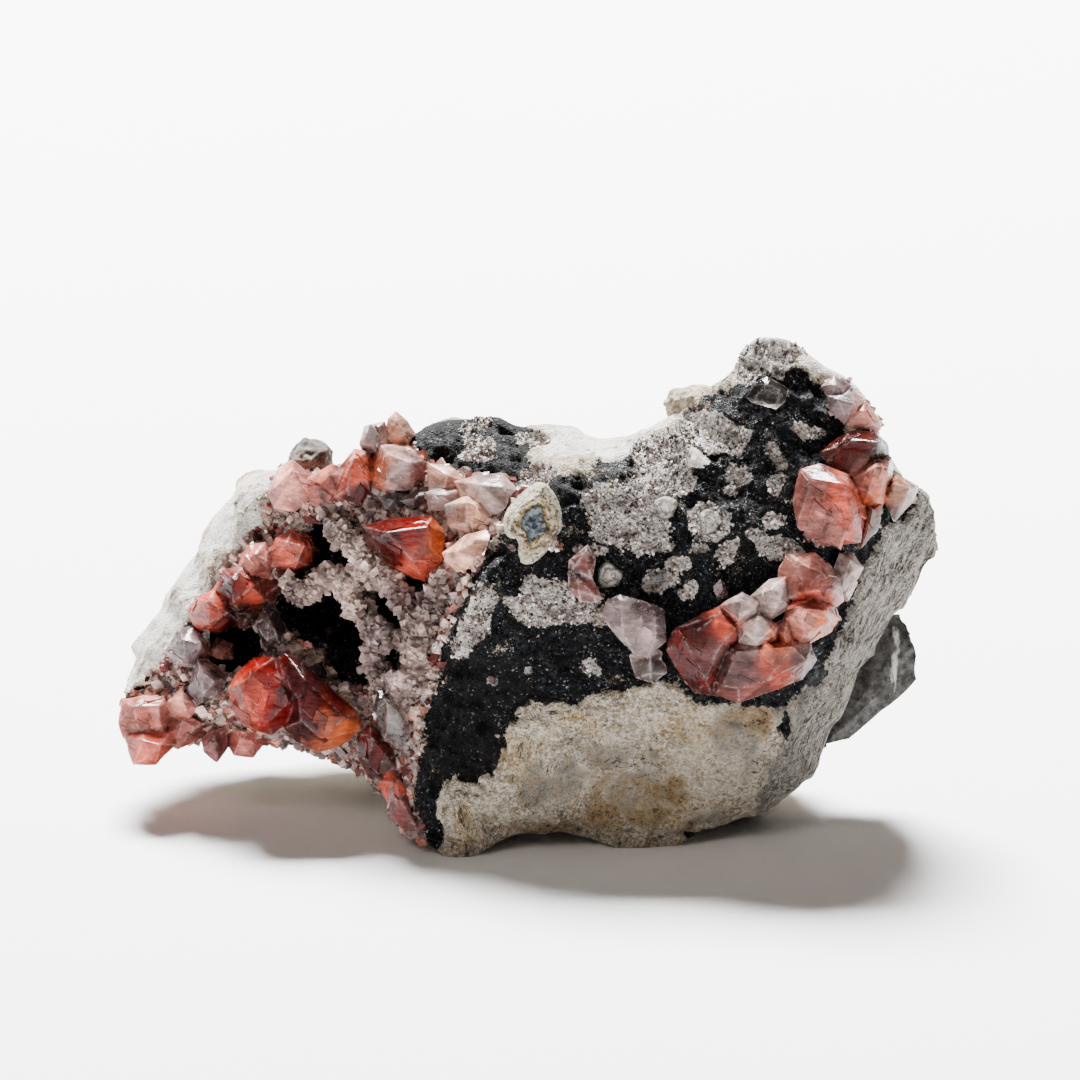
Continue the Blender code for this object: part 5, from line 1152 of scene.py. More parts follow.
# %% The groups of the left lobe
CRYSTALS.update({
    "top_left_crystals": ("red", "red_crystal", 0.32, [
        (-24, 37.4, "light_pink"), (-20.4, 37.6, "pink"), (-17.6, 38.6, "coral"),
        (-17.2, 36.4, "deep"), (-15.4, 42.2, "pale"), (-13.2, 43, "peach"), (-13.2, 39, "pale"),
        (-15.2, 39.4, "orange"), (-11.6, 38.6, "mauve"),
    ]),
    "pale_peach_crystals": ("pink", "pink_crystal", 0.32, [
        (-8.4, 38, "peach"), (-3.8, 36.4, "pale"), (-6.1, 34.6, "peach"), (-8.8, 36, "pale"),
    ]),
    "dark_leaf_crystals": ("red", "red_crystal", 0.35, [(-11.6, 36, "grey"), (-13.8, 36, "smoky")]),
    "amber_crystal": ("gem", "red_crystal", 0.35, [
        (-14.6, 31.8, "deep"), (-11.4, 32.6, "gem"), (-10.6, 29.6, "coral"), (-9.4, 31.8, "orange"),
    ]),
    "salmon_plate_crystal": ("pink", "pink_crystal", 0.35, [(-6.4, 30.9, "peach")]),
    "left_rim_crystals": ("red", "red_crystal", 0.32, [
        (-23.8, 31, "coral"), (-27.6, 29.8, "pink"), (-29.4, 27, "deep"), (-28, 26.2, "coral"),
        (-32, 25, "coral"), (-30.6, 24.2, "deep"), (-28.4, 24.4, "brown"), (-25, 27.4, "purple"),
    ]),
    "lilac_left_crystals": ("pale", "pink_crystal", 0.32, [
        (-34.4, 21.2, "lilac"), (-31.4, 20.6, "light_pink"), (-32.8, 17.8, "lilac"),
    ]),
    "grey_oval_crystal": ("pale", "pale_crystal", 0.35, [(-26.2, 23, "grey")]),
    "red_gem_crystals": ("gem", "red_crystal", 0.35, [
        (-26.8, 18, "gem"), (-25.6, 15, "gem"), (-28.6, 16.2, "coral"), (-22.6, 17.6, "purple"),
        (-22.4, 13.8, "purple"), (-19.6, 13.4, "orange"), (-19.4, 15.4, "deep"),
    ]),
    "left_corner_crystals": ("pink", "pink_crystal", 0.32, [
        (-39, 14.4, "pink"), (-37.2, 15.2, "light_pink"), (-38.2, 11.2, "coral"),
        (-35.2, 13, "pink"), (-35, 15.6, "light_pink"),
    ]),
    "lower_left_crystals": ("pink", "pink_crystal", 0.32, [
        (-31.8, 11.4, "mauve"), (-28.9, 11.6, "pink"),
    ]),
    "pointed_clear_crystal": ("clear", "clear_crystal", 0.35, [(-13.8, 13.8, "clear")]),
    "lower_edge_crystals": ("red", "red_crystal", 0.32, [
        (-15.6, 11.4, "deep"), (-14.6, 9, "brown"), (-12.4, 4.8, "mauve"), (-13.6, 7.6, "coral"),
    ]),
})
print("groups:", len(CRYSTALS), "tint centres:", sum(len(group[3]) for group in CRYSTALS.values()))

# %% Cutting a flat-faced solid into small triangles
MERGE_REACH = 0.000002
FLAT_DEGREES, SHARP_DEGREES = 3.0, 18.0
EDGE_SOFTENING = 0.15


def cut_fine(bm, longest):
    """Halve every edge longer than so many millimetres, round after round, keeping triangles."""
    bmesh.ops.triangulate(bm, faces=bm.faces, quad_method="SHORT_EDGE")
    for _ in range(7):
        long_edges = [edge for edge in bm.edges if edge.calc_length() > longest * MM]
        bmesh.ops.subdivide_edges(bm, edges=long_edges, cuts=1)
        wide = [face for face in bm.faces if len(face.verts) > 3]
        bmesh.ops.triangulate(bm, faces=wide, quad_method="SHORT_EDGE")


def mesh_arrays(bm):
    """Points and outward directions in the show plane, and corner numbers of every face."""
    bmesh.ops.recalc_face_normals(bm, faces=bm.faces)
    bm.verts.index_update()
    bm.normal_update()
    points = np.array([vert.co[:] for vert in bm.verts])
    outward = np.array([vert.normal[:] for vert in bm.verts])
    faces = np.array([[vert.index for vert in face.verts] for face in bm.faces])
    bm.free()
    return to_show(points), to_show(points + outward * MM) - to_show(points), faces


def fine_copy(node_name, longest):
    """Points, outward directions, triangles and sharp edges (pairs of ends) of a refined copy."""
    bm = bmesh.new()
    bm.from_mesh(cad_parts[node_name].data)
    bmesh.ops.remove_doubles(bm, verts=bm.verts, dist=MERGE_REACH)
    bmesh.ops.dissolve_limit(bm, angle_limit=math.radians(FLAT_DEGREES), verts=bm.verts, edges=bm.edges)
    sharp = [[corner.co[:] for corner in edge.verts] for edge in bm.edges
             if len(edge.link_faces) == 2 and edge.calc_face_angle() > math.radians(SHARP_DEGREES)]
    cut_fine(bm, longest)
    bmesh.ops.smooth_vert(bm, verts=bm.verts, factor=EDGE_SOFTENING, use_axis_x=True, use_axis_y=True,
                          use_axis_z=True)
    return (*mesh_arrays(bm), to_show(np.array(sharp)))


_, _, test_faces, test_edges = fine_copy("amber_crystal", 1.0)
print("amber crystal:", len(test_edges), "sharp edges,", len(test_faces), "triangles at 1 mm")

# %% Edge distance and tints
TINT_FRAY, TINT_CRISPNESS = 0.4, 2.6
PAINTED_FACET_DARKEST, PAINTED_FACET_SPAN = 0.50, 0.90


def segment_distance(points, segments):
    """Distance from each point to the nearest of many straight segments."""
    nearest = np.full(len(points), 1e9)
    for start, end in segments:
        run = end - start
        along = np.clip((points - start) @ run / (run @ run + 1e-12), 0.0, 1.0)
        gap = points - start - along[:, None] * run
        nearest = np.minimum(nearest, np.einsum("ij,ij->i", gap, gap))
    return np.sqrt(nearest)


def tints_at(points, outward, centres):
    """The tint of the nearest centre, with painted light and shade from facet to facet for the inner
    reflections.
    """
    spots = np.array([centre[:2] for centre in centres], float)
    colours = np.array([TINT[centre[2]] for centre in centres])
    fray = np.stack([lattice_noise(points, 1.6, 61), lattice_noise(points, 1.6, 62)], axis=-1)
    reach = np.linalg.norm((points[:, None, :2] + TINT_FRAY * fray[:, None]) - spots, axis=-1)
    share = np.exp(-TINT_CRISPNESS * (reach - reach.min(axis=1, keepdims=True)))
    share /= share.sum(axis=1, keepdims=True)
    # Painted light and shade: each facet direction gets its own lightness, standing in for inner reflections.
    painted_facet_light = scrambled(np.rint(outward * 3.0).astype(np.int64), 64) % 1000 / 999.0
    light = PAINTED_FACET_DARKEST + PAINTED_FACET_SPAN * painted_facet_light
    return np.concatenate([share @ colours * light[:, None], np.ones((len(points), 1))], axis=1)


print("first sharp edge of the amber crystal:", test_edges[0].round(1).tolist())

# %% [markdown]
# ## Crystal materials
# Rhodochrosite is translucent: light goes a few millimetres in and comes back red. Subsurface
# scattering would show that too, but it is noisy and hides the facets. So each look is a mix of
# surface colour and plain transmission, with absorption inside for the clearest ones. The
# index of refraction is set to 1.5, under the mineral's own 1.6 to 1.8, because the pale floor
# mirrored in a stronger surface would grey the deep reds. Veils and faint dark bands vary the tint
# inside a crystal. Its edges are pale and rougher, as chipped and etched edges are, and their pale
# is partly a painted highlight where sharp edges catch the light.

# %% A crystal material
CRYSTAL_IOR, CRYSTAL_SPECULAR = 1.5, 0.10
VEIL_TINT, WORN_AND_HIGHLIGHT_TINT = (0.48, 0.30, 0.27), (0.74, 0.60, 0.56)
WORN_ROUGHNESS = 0.55
BAND_STRETCH = (1.0, 0.35, 3.2)


def crystal_material(name, transmission, roughness, veil, absorb=None, density=0.0, edge_pale=0.35):
    """A crystal that takes its tint and its worn edges, pale partly with painted highlight, from the
    attributes of the piece.
    """
    material, tree, shader = new_material(name, {
        "IOR": CRYSTAL_IOR, "Specular IOR Level": CRYSTAL_SPECULAR, "Transmission Weight": transmission})
    place = object_place(tree)
    bands = node(tree, "ShaderNodeMapping", {"Scale": BAND_STRETCH}, {"Vector": place}).outputs[0]
    depth = combine(tree, "MULTIPLY", mottle(tree, place, (420.0, 4.0), (0.32, 0.62), (0.35, 1.25)),
                    mottle(tree, bands, (900.0, 3.0), (0.42, 0.60), (0.70, 1.1)))
    tint = node(tree, "ShaderNodeVectorMath", operation="SCALE",
                links={"Vector": attribute(tree, "tint", "Color"), "Scale": depth}).outputs[0]
    veils = combine(tree, "MULTIPLY", mottle(tree, place, (700.0, 5.0, 0.7), (0.52, 0.72)), veil)
    # Worn edges: chipped and rougher, and their pale colour is partly painted highlight.
    wear_and_edge_highlight = combine(tree, "MULTIPLY", attribute(tree, "edge"),
                   mottle(tree, place, (900.0, 4.0, 0.8), (0.44, 0.58), (0.05, 1.0)))
    pale = combine(tree, "MULTIPLY", wear_and_edge_highlight, edge_pale)
    colour = lay_over(tree, tint, [(veils, VEIL_TINT), (pale, WORN_AND_HIGHLIGHT_TINT)])
    tree.links.new(colour, shader.inputs["Base Color"])
    tree.links.new(remap(tree, wear_and_edge_highlight, 0.0, 1.0, roughness, WORN_ROUGHNESS), shader.inputs["Roughness"])
    grain = combine(tree, "MULTIPLY", noise(tree, place, 3500.0, 2.0), 0.35)
    bump(tree, shader, combine(tree, "ADD", noise(tree, bands, 1300.0), grain), 0.00010, 0.8)
    if absorb:
        volume = node(tree, "ShaderNodeVolumeAbsorption", {"Color": (*absorb, 1.0), "Density": density})
        tree.links.new(volume.outputs[0], tree.nodes["Material Output"].inputs["Volume"])
    return material


print("index of refraction:", CRYSTAL_IOR)

# %% The looks of the large crystals
CRYSTAL_LOOKS = {
    "gem": crystal_material("crystal_gem", 0.22, 0.06, 0.0, (1.0, 0.25, 0.16), 120.0, 0.10),
    "red": crystal_material("crystal_red", 0.16, 0.09, 0.03, edge_pale=0.20),
    "pink": crystal_material("crystal_pink", 0.18, 0.16, 0.12, edge_pale=0.24),
    "pale": crystal_material("crystal_pale", 0.45, 0.13, 0.20, edge_pale=0.6),
    "plate": crystal_material("crystal_plate", 0.25, 0.20, 0.12, edge_pale=0.7),
    "clear": crystal_material("crystal_clear", 0.92, 0.05, 0.05, (0.95, 0.88, 0.85), 60.0, 0.7),
}

print("looks:", list(CRYSTAL_LOOKS))

# %% Growth plates on the facets
GROWTH_GRAIN = np.array([0.35, 1.0, 0.2])
RHOMB_CORNERS = np.array(list(np.ndindex(2, 2, 2))) * 2.0 - 1.0
RHOMB_FACES = np.array([[0, 1, 3, 2], [4, 6, 7, 5], [0, 4, 5, 1], [2, 3, 7, 6], [0, 2, 6, 4], [1, 5, 7, 3]])
PLATE_ROOT, PLATE_SLANT, PLATE_SKEW = 0.25, 1.25, 0.3


def many_rhombs(corners):
    """Points and faces of many six-faced bodies, from eight corners each."""
    faces = RHOMB_FACES + 8 * np.arange(len(corners))[:, None, None]
    return corners.reshape(-1, 3), faces.reshape(-1, 4)


def growth_plates(points, outward, edge, count, draw):
    """Slant-sided plates lying on the facets and parallel to them: the last layers that grew."""
    chance = np.clip(outward[:, 2] - 0.1, 0.0, 1.0) * (edge < 0.03)
    count = min(count, np.count_nonzero(chance) // 60)
    picked = draw.choice(len(points), count, p=(chance + 1e-9) / (chance + 1e-9).sum())
    normal = outward[picked] / np.linalg.norm(outward[picked], axis=1, keepdims=True)
    along = GROWTH_GRAIN - (normal @ GROWTH_GRAIN)[:, None] * normal
    along /= np.linalg.norm(along, axis=1, keepdims=True)
    across = np.cross(normal, along)
    half = 0.20 + 0.85 * draw.random((2, count, 1)) ** 2
    lift = 0.02 + 0.09 * draw.random((count, 1)) ** 2
    spots = []
    for side, slant, top in RHOMB_CORNERS:
        height = lift if top > 0 else -PLATE_ROOT
        wide = 1.0 if top > 0 else PLATE_SLANT
        flat = half[0] * (side + PLATE_SKEW * slant) * along + half[1] * slant * across
        spots.append(points[picked] + wide * flat + height * normal)
    return (*many_rhombs(np.stack(spots, axis=1)), picked)


print("a rhombohedron has", len(RHOMB_CORNERS), "corners and", len(RHOMB_FACES), "faces")

# %% Crystal pieces
STEP_HEIGHT, STEP_SIZE = 0.07, 1.8
EDGE_REACH, EDGE_WEAR = 0.12, 0.05
POINTS_PER_PLATE, PLATE_EDGE = 260, 0.12
GRAIN_TURN = np.array([[1.0, 0.2, 0.0], [-0.2, 1.0, 0.3], [0.0, -0.3, 1.0]]) * np.array([0.5, 2.2, 1.0])

crystal_points = {}
draw = np.random.default_rng(40)
for name, (look, slot, longest, centres) in CRYSTALS.items():
    points, outward, faces, sharp = fine_copy(name, longest)
    edge = np.exp(-segment_distance(points, sharp) / EDGE_REACH)
    growth = STEP_HEIGHT * layered_noise(points @ GRAIN_TURN, STEP_SIZE, 63) - EDGE_WEAR * edge
    points = points + outward * growth[:, None]
    tints = tints_at(points, outward, centres)
    plates, plate_faces, picked = growth_plates(points, outward, edge, len(points) // POINTS_PER_PLATE, draw)
    plate_tints = tints[picked]
    plate_tints[:, :3] *= np.exp(0.28 * draw.normal(size=(len(picked), 1)))
    attributes = {"edge": np.append(edge, np.full(len(plates), PLATE_EDGE)),
                  "tint": np.concatenate([tints, np.repeat(plate_tints, 8, axis=0)])}
    make_piece("fine_" + name, np.concatenate([points, plates]), [faces, plate_faces + len(points)],
               CRYSTAL_LOOKS[look], [name], attributes, 24)
    crystal_points[name] = points

# %% [markdown]
# ## Small crystals by the hundred
# Most of what glitters on the specimen is tiny: rhombohedra well under a millimetre. A particle
# system or instances could strew copies, but every grain would be the same shape. Each one here
# is a cube stretched along a diagonal, six faces, turned its own way. Whole clouds of them are
# worked out in one go from their places, sizes and a seed. Places are picked on the rock's grid,
# more likely where a weight is high, so crystals gather in patches, along rims and round feet.

# %% Clouds of rhombohedra
DIAGONAL_PULL, CORNER_REACH = 0.35, 1.9


def random_turns(count, draw):
    """Rotation matrices from random unit quaternions, which turn every way equally often."""
    quarter = draw.normal(size=(4, count))
    a, b, c, d = quarter / np.linalg.norm(quarter, axis=0)
    rows = [
        [1 - 2 * (c * c + d * d), 2 * (b * c - d * a), 2 * (b * d + c * a)],
        [2 * (b * c + d * a), 1 - 2 * (b * b + d * d), 2 * (c * d - b * a)],
        [2 * (b * d - c * a), 2 * (c * d + b * a), 1 - 2 * (b * b + c * c)],
    ]
    return np.moveaxis(np.array(rows), -1, 0)


def rhomb_cloud(places, sizes, draw, pull=DIAGONAL_PULL):
    """Points and faces of many rhombohedra: corners (+-1,+-1,+-1) pulled along one diagonal, turned."""
    count = len(places)
    stretched = RHOMB_CORNERS + pull * RHOMB_CORNERS.sum(axis=1, keepdims=True) / 3.0
    shapes = stretched / CORNER_REACH * (0.75 + 0.5 * draw.random((count, 1, 3)))
    turned = np.einsum("nij,nkj->nki", random_turns(count, draw), shapes)
    return many_rhombs(places[:, None] + turned * sizes[:, None, None])


def cloud_tints(palette, count, draw, spread=0.25):
    """One tint per crystal, picked from a palette of names and shares, varied in lightness."""
    names, shares = zip(*palette)
    picked = draw.choice(len(names), count, p=np.array(shares) / sum(shares))
    light = np.exp(spread * draw.normal(size=count))
    tints = np.array([TINT[name] for name in names])[picked] * light[:, None]
    return np.repeat(np.concatenate([tints, np.ones((count, 1))], axis=1), 8, axis=0)


test_points, _ = rhomb_cloud(np.zeros((1, 3)), np.ones(1), np.random.default_rng(1))
print("a crystal of size 1 reaches", np.linalg.norm(test_points, axis=1).max().round(2), "mm")

# %% Places on the front of the rock
PLACE_JITTER, PLACE_MARGIN = 0.12, 0.0002
front = rock[:, :FRONT_ROWS + 1]
front_normal = rock_normal[:, :FRONT_ROWS + 1]
front_u, front_v = front[..., 0], front[..., 1]
cell_size = np.linalg.norm(np.cross(np.gradient(front, axis=0), np.gradient(front, axis=1)), axis=-1)


def on_rock(u, v):
    """Points of the front skin at given (u, v), read from the four grid points around."""
    u, v = np.asarray(u, float), np.asarray(v, float)
    low, high = soft_line(BOTTOM_LINE, u), soft_line(TOP_LINE, u)
    row_places = np.interp((v - low) / (high - low), front_climb, np.arange(FRONT_ROWS + 1))
    column = np.clip(np.interp(u, grid_u, np.arange(COLUMNS)), 0, COLUMNS - 1.001)
    row = np.clip(row_places, 0, FRONT_ROWS - 0.001)
    c, r = column.astype(int), row.astype(int)
    a, b = (column - c)[..., None], (row - r)[..., None]
    return ((front[c, r] * (1 - a) + front[c + 1, r] * a) * (1 - b)
            + (front[c, r + 1] * (1 - a) + front[c + 1, r + 1] * a) * b)


def pick_places(weight, count, draw, sink=0.0):
    """Spots on the front skin, as likely as weight times area, jittered by one grid step."""
    chance = (weight * cell_size).ravel()
    picked = draw.choice(chance.size, count, p=chance / chance.sum())
    spots = front.reshape(-1, 3)[picked] + draw.uniform(-PLACE_JITTER, PLACE_JITTER, (count, 3))
    spots = spots - front_normal.reshape(-1, 3)[picked] * sink
    return to_show(inside_box(to_world(spots), PLACE_MARGIN))


print("the skin at (12, 25) is at depth", on_rock(12.0, 25.0)[2].round(2))

# %% Looks of the small crystals
SMALL_LOOK = {
    "grain": crystal_material("small_grain", 0.0, 0.35, 0.10, edge_pale=0.0),
    "small": crystal_material("small_crystal", 0.20, 0.14, 0.12, edge_pale=0.0),
    "ice": crystal_material("small_clear", 0.75, 0.06, 0.0, edge_pale=0.0),
}
print("looks:", list(SMALL_LOOK))

# %% [markdown]
# ## The crust across the hollow
# Inside the left lobe, branches of tiny crystals bridge the black hollows. Metaballs could grow
# such a crust, but their surface is hard to steer. So each branch is a lumpy tube along a bent
# path, and the tubes and the crystals that cover them make one crust. The path hangs at the level
# the lobe's face would have without its hollows.

# %% Bent paths of the branches (u, v, height over the level of the face)
DRUSE_STRINGS = [
    [(-25, 27.6, 0.6), (-22.8, 26, 0), (-20.8, 28.6, -0.6), (-18.6, 28.2, -0.4)],
    [(-20.6, 33.6, 0.6), (-17.6, 31.6, 0.2), (-16.2, 29.8, 0), (-14.8, 28.2, 0),
     (-13.4, 26.6, -0.2), (-12.2, 24.6, 0), (-10.8, 22.4, 0.8)],
    [(-16.2, 29.8, 0), (-18.6, 28.2, -0.4), (-18.4, 25.4, -0.6), (-16.6, 23.6, -0.4),
     (-14.6, 22.4, 0.2), (-12.4, 21.4, 0.6), (-10.8, 22.4, 0.8)],
    [(-8.9, 28.4, 0.9), (-9.6, 26, 0.9), (-10.8, 22.4, 0.8), (-11.6, 20, 0.8),
     (-11.9, 17.6, 0.8), (-13, 15.6, 0.8)],
    [(-14.6, 22.4, 0.2), (-16, 19.4, -0.4), (-14.2, 17.8, 0.2), (-11.9, 17.6, 0.8)],
]
print("paths:", len(DRUSE_STRINGS), "with", sum(len(string) for string in DRUSE_STRINGS), "corners")

# %% A lumpy tube along a path
TUBE_RADIUS, TUBE_AROUND, TUBE_STEP = 0.95, 26, 0.28
TUBE_LIFT, TUBE_WANDER, TUBE_LUMPS = 0.35, 0.45, 0.55


def soft_path(path, seed):
    """Points at even steps along a bent path over the lobe's face, smoothed and shifted by noise."""
    path = np.array(path, float)
    path[:, 2] += left_face(path[:, 0], path[:, 1]) + TUBE_LIFT
    reach = np.append(0.0, np.cumsum(np.linalg.norm(np.diff(path, axis=0), axis=1)))
    along = np.linspace(0.0, reach[-1], max(int(reach[-1] / TUBE_STEP), 8))
    middle = np.stack([np.interp(along, reach, path[:, axis]) for axis in range(3)], axis=-1)
    for _ in range(4):
        middle[1:-1] = 0.5 * middle[1:-1] + 0.25 * (middle[2:] + middle[:-2])
    wander = np.stack([lattice_noise(middle, 1.7, seed + axis) for axis in range(3)], axis=-1)
    return middle + TUBE_WANDER * wander, along / along[-1]


def branch_tube(path, seed):
    """A closed tube along a path: rings of points square to it, their radius shaped by noise."""
    middle, share = soft_path(path, seed)
    run = np.gradient(middle, axis=0)
    run /= np.linalg.norm(run, axis=1, keepdims=True)
    side = np.cross(run, [0.0, 0.0, 1.0])
    side /= np.linalg.norm(side, axis=1, keepdims=True)
    over = np.cross(side, run)
    turn = np.linspace(0.0, 2.0 * np.pi, TUBE_AROUND, endpoint=False)
    spoke = side[:, None] * np.cos(turn)[:, None] + over[:, None] * np.sin(turn)[:, None]
    ends = np.sqrt(np.clip(1.0 - (2.0 * share - 1.0) ** 8, 0.02, 1.0))
    lumps = 1.0 + TUBE_LUMPS * layered_noise(middle[:, None] + spoke, 1.5, seed + 5)
    radius = TUBE_RADIUS * ends[:, None] * np.clip(lumps, 0.3, 1.8)
    return closed_rings(middle[:, None] + spoke * radius[..., None])


print("steps of the first path:", len(soft_path(DRUSE_STRINGS[0], 100)[1]))

# %% The branches
tube_points, tube_faces, tube_sides, start = [], [], [], 0
for index, string in enumerate(DRUSE_STRINGS):
    points, faces = branch_tube(string, 100 + 10 * index)
    tube_points.append(points)
    tube_faces += [block + start for block in faces]
    tube_sides.append(points[:-2])
    start += len(points)
tube_points, tube_sides = np.concatenate(tube_points), np.concatenate(tube_sides)
print("branches:", len(DRUSE_STRINGS), "points:", len(tube_points))

# %% Crystals that cover the branches, and the whole crust
CRUST_CRYSTALS, CRUST_JITTER = 2600, 0.15
TUBE_SHADE = 0.55
BEIGE, COOL = 0.66 * np.array(TINT["blush"]), 0.75 * np.array(TINT["pale"])


def grey_share(points):
    """How cool a crust crystal is: a slow noise from 0, beige, to 1, cool grey."""
    return np.clip(0.5 + 1.2 * lattice_noise(points, 5.0, 77), 0, 1)[:, None]


draw = np.random.default_rng(41)
picked = draw.choice(len(tube_sides), CRUST_CRYSTALS)
spots = tube_sides[picked] + draw.uniform(-CRUST_JITTER, CRUST_JITTER, (CRUST_CRYSTALS, 3))
sizes = 0.20 + 0.50 * draw.random(CRUST_CRYSTALS) ** 2.2
grain_points, grain_faces = rhomb_cloud(spots, sizes, draw)
cool = grey_share(tube_sides)[picked]
grain_tints = BEIGE * (1 - cool) + 0.8 * COOL * cool
grain_tints = grain_tints * np.exp(0.25 * draw.normal(size=(CRUST_CRYSTALS, 1)))
cool = grey_share(tube_points)
tints = np.concatenate([TUBE_SHADE * (BEIGE * (1 - cool) + COOL * cool), np.repeat(grain_tints, 8, axis=0)])
tints = np.concatenate([tints, np.ones((len(tints), 1))], axis=1)
make_piece("hollow_crust", np.concatenate([tube_points, grain_points]), [*tube_faces, grain_faces + start],
           SMALL_LOOK["grain"], ["vug_druse"], {"tint": tints}, 0)

# %% [markdown]
# ## Grains on the patches, rims and feet
# The pale patches on the black face are crusts of the same tiny crystals, pinkish grey to white.
# Along the ridge and round the foot of each big crystal they are larger and take its colour. The
# colour of a patch alone would look painted on, so the largest grains are real bodies that catch
# the light, and the material fills in between them.

# %% Where the grains gather
front_druse, front_crust = druse[:, :FRONT_ROWS + 1], crust[:, :FRONT_ROWS + 1]
patch_weight = front_druse * (0.4 + np.clip(layered_noise(front, 1.3, 33) + 0.4, 0, 1))
crust_weight = front_crust * (0.3 + np.clip(layered_noise(front, 2.4, 35) + 0.3, 0, 1))
ridge_weight = np.exp(-((across_ridge(front_u, front_v) + 1.7) / 1.1) ** 2)
ridge_weight = ridge_weight * smooth_step((front_v - 10.0) / 4) * smooth_step((37.0 - front_v) / 3)

# Piece: weight, count, depth it sinks in, smallest size, size span, power (large: few big ones),
# look, slot, and a palette of tints and shares.
GRAIN_PIECES = {
    "patch_grains": (
        patch_weight, 6500, 0.05, 0.07, 0.17, 2, "grain", "rock",
        [("bone", 6), ("clear", 2.5), ("lilac", 1.0), ("bone_dark", 2.2), ("brown", 0.5)]),
    "crust_grains": (
        crust_weight, 3600, 0.05, 0.18, 0.65, 3, "small", "pink_crystal",
        [("blush", 4), ("pale", 3), ("light_pink", 2), ("mauve", 2), ("lilac", 2), ("brown", 0.5)]),
    "ridge_crystals": (
        ridge_weight, 2600, 0.0, 0.18, 0.5, 2.5, "small", "pink_crystal",
        [("peach", 1.5), ("blush", 5), ("clear", 2.5), ("pale", 1)]),
}

draw = np.random.default_rng(42)
for name, (weight, count, sink, smallest, span, power, look, slot, palette) in GRAIN_PIECES.items():
    spots = pick_places(weight, count, draw, sink)
    sizes = smallest + span * draw.random(count) ** power
    points, faces = rhomb_cloud(spots, sizes, draw)
    attributes = {"tint": cloud_tints(palette, count, draw)}
    make_piece(name, points, [faces], SMALL_LOOK[look], (), attributes, 0)

# %% Crystals round the feet of the large ones
FOOT_HEIGHT, FOOT_BAND, FOOT_JITTER = 0.15, 0.35, 0.25
FOOT_TINT_SHARE = 0.55
foot_spots, foot_tints = [], []
for name, points in crystal_points.items():
    height = points[:, 2] - on_rock(points[:, 0], points[:, 1])[:, 2]
    near = np.flatnonzero(np.abs(height - FOOT_HEIGHT) < FOOT_BAND)
    near = draw.choice(near, max(len(near) // 4, 1))
    foot_spots.append(points[near] + draw.uniform(-FOOT_JITTER, FOOT_JITTER, (len(near), 3)))
    tint = tints_at(points[near], draw.normal(size=(len(near), 3)), CRYSTALS[name][3])
    foot_tints.append(FOOT_TINT_SHARE * tint + (1.0 - FOOT_TINT_SHARE) * np.array([*TINT["blush"], 1.0]))
foot_spots, foot_tints = np.concatenate(foot_spots), np.concatenate(foot_tints)
sizes = 0.15 + 0.45 * draw.random(len(foot_spots)) ** 2.5
points, faces = rhomb_cloud(foot_spots, sizes, draw)
make_piece("foot_crystals", points, [faces], SMALL_LOOK["small"],
           attributes={"tint": np.repeat(foot_tints, 8, axis=0)}, crease=0)

# %% [markdown]
# ## The dark slab, the knob and the lump
# Behind the right rim stands a slab of dark grey rock with a white streak. It is a broken block, so
# it starts from its corners: the convex solid through them, cut fine and roughened. A knob tops the
# left lobe and a beige lump shows behind the saddle. Heights on the rock's own skin could not make
# them, because both overhang its outline, so they are balls pushed out of round by noise.

# %% Plain rock
PIT_SHADE_TINT = (0.012, 0.010, 0.009)
VEIN_TURN, VEIN_STRETCH = (0.0, 0.9, 0.0), (3.0, 1.0, 0.7)


def loose_rock_material(name, dark, light, pale, pale_from):
    """Plain rock: mottled grey or brown with pale veins where a noise runs high, and painted shade in fine
    pits.
    """
    material, tree, shader = new_material(name, {"Roughness": 0.75, "Specular IOR Level": 0.25})
    place = object_place(tree)
    vein_place = node(tree, "ShaderNodeMapping", {"Rotation": VEIN_TURN, "Scale": VEIN_STRETCH},
                      {"Vector": place}).outputs[0]
    colour = blend(tree, mottle(tree, place, (900.0, 5.0, 0.7), (0.40, 0.62)), dark, light)
    colour = lay_over(tree, colour, [
        (mottle(tree, vein_place, (90.0, 5.0), (pale_from, pale_from + 0.04)), pale),
        # Dark specks: painted shade in fine pits.
        (mottle(tree, place, (2600.0, 3.0, 0.7), (0.58, 0.66), (0.0, 0.7)), PIT_SHADE_TINT),
    ])
    tree.links.new(colour, shader.inputs["Base Color"])
    bump(tree, shader, noise(tree, place, 2000.0, 5.0, 0.7), 0.0004)
    return material


# Each look: dark, light and pale tint, and the noise level where veins start.
LOOSE_ROCK = {
    "slab_rock": ((0.030, 0.027, 0.024), (0.115, 0.110, 0.105), (0.62, 0.61, 0.58), 0.60),
    "knob_rock": ((0.045, 0.035, 0.028), (0.22, 0.18, 0.15), (0.45, 0.40, 0.36), 0.62),
    "lump_rock": ((0.22, 0.16, 0.10), (0.55, 0.46, 0.35), (0.75, 0.70, 0.62), 0.60),
}
loose_looks = {name: loose_rock_material(name, *settings) for name, settings in LOOSE_ROCK.items()}
print("plain rock looks:", list(loose_looks))

# %% The slab
# Corners of the slab (u, v, w).
BACK_SLAB = [
    (37.3, 24.6, -17), (38.6, 22.8, -16), (39.3, 20.2, -16.5), (39.1, 17.9, -17.5),
    (36.8, 15.9, -17.5), (34, 13.6, -17), (32.2, 11.8, -16), (29.3, 10.8, -14),
    (30, 22, -16), (31, 24, -24), (37.6, 21.5, -24), (36, 15.5, -25),
    (30, 12.5, -24),
]
SLAB_TRIANGLE, SLAB_INSET, SLAB_ROUGH = 0.45, 0.3, 0.35
SLAB_TURN = np.array([[0.7, -0.6, 0.0], [0.6, 0.7, 0.3], [0.0, -0.3, 1.0]]) * np.array([0.3, 1.5, 0.8])

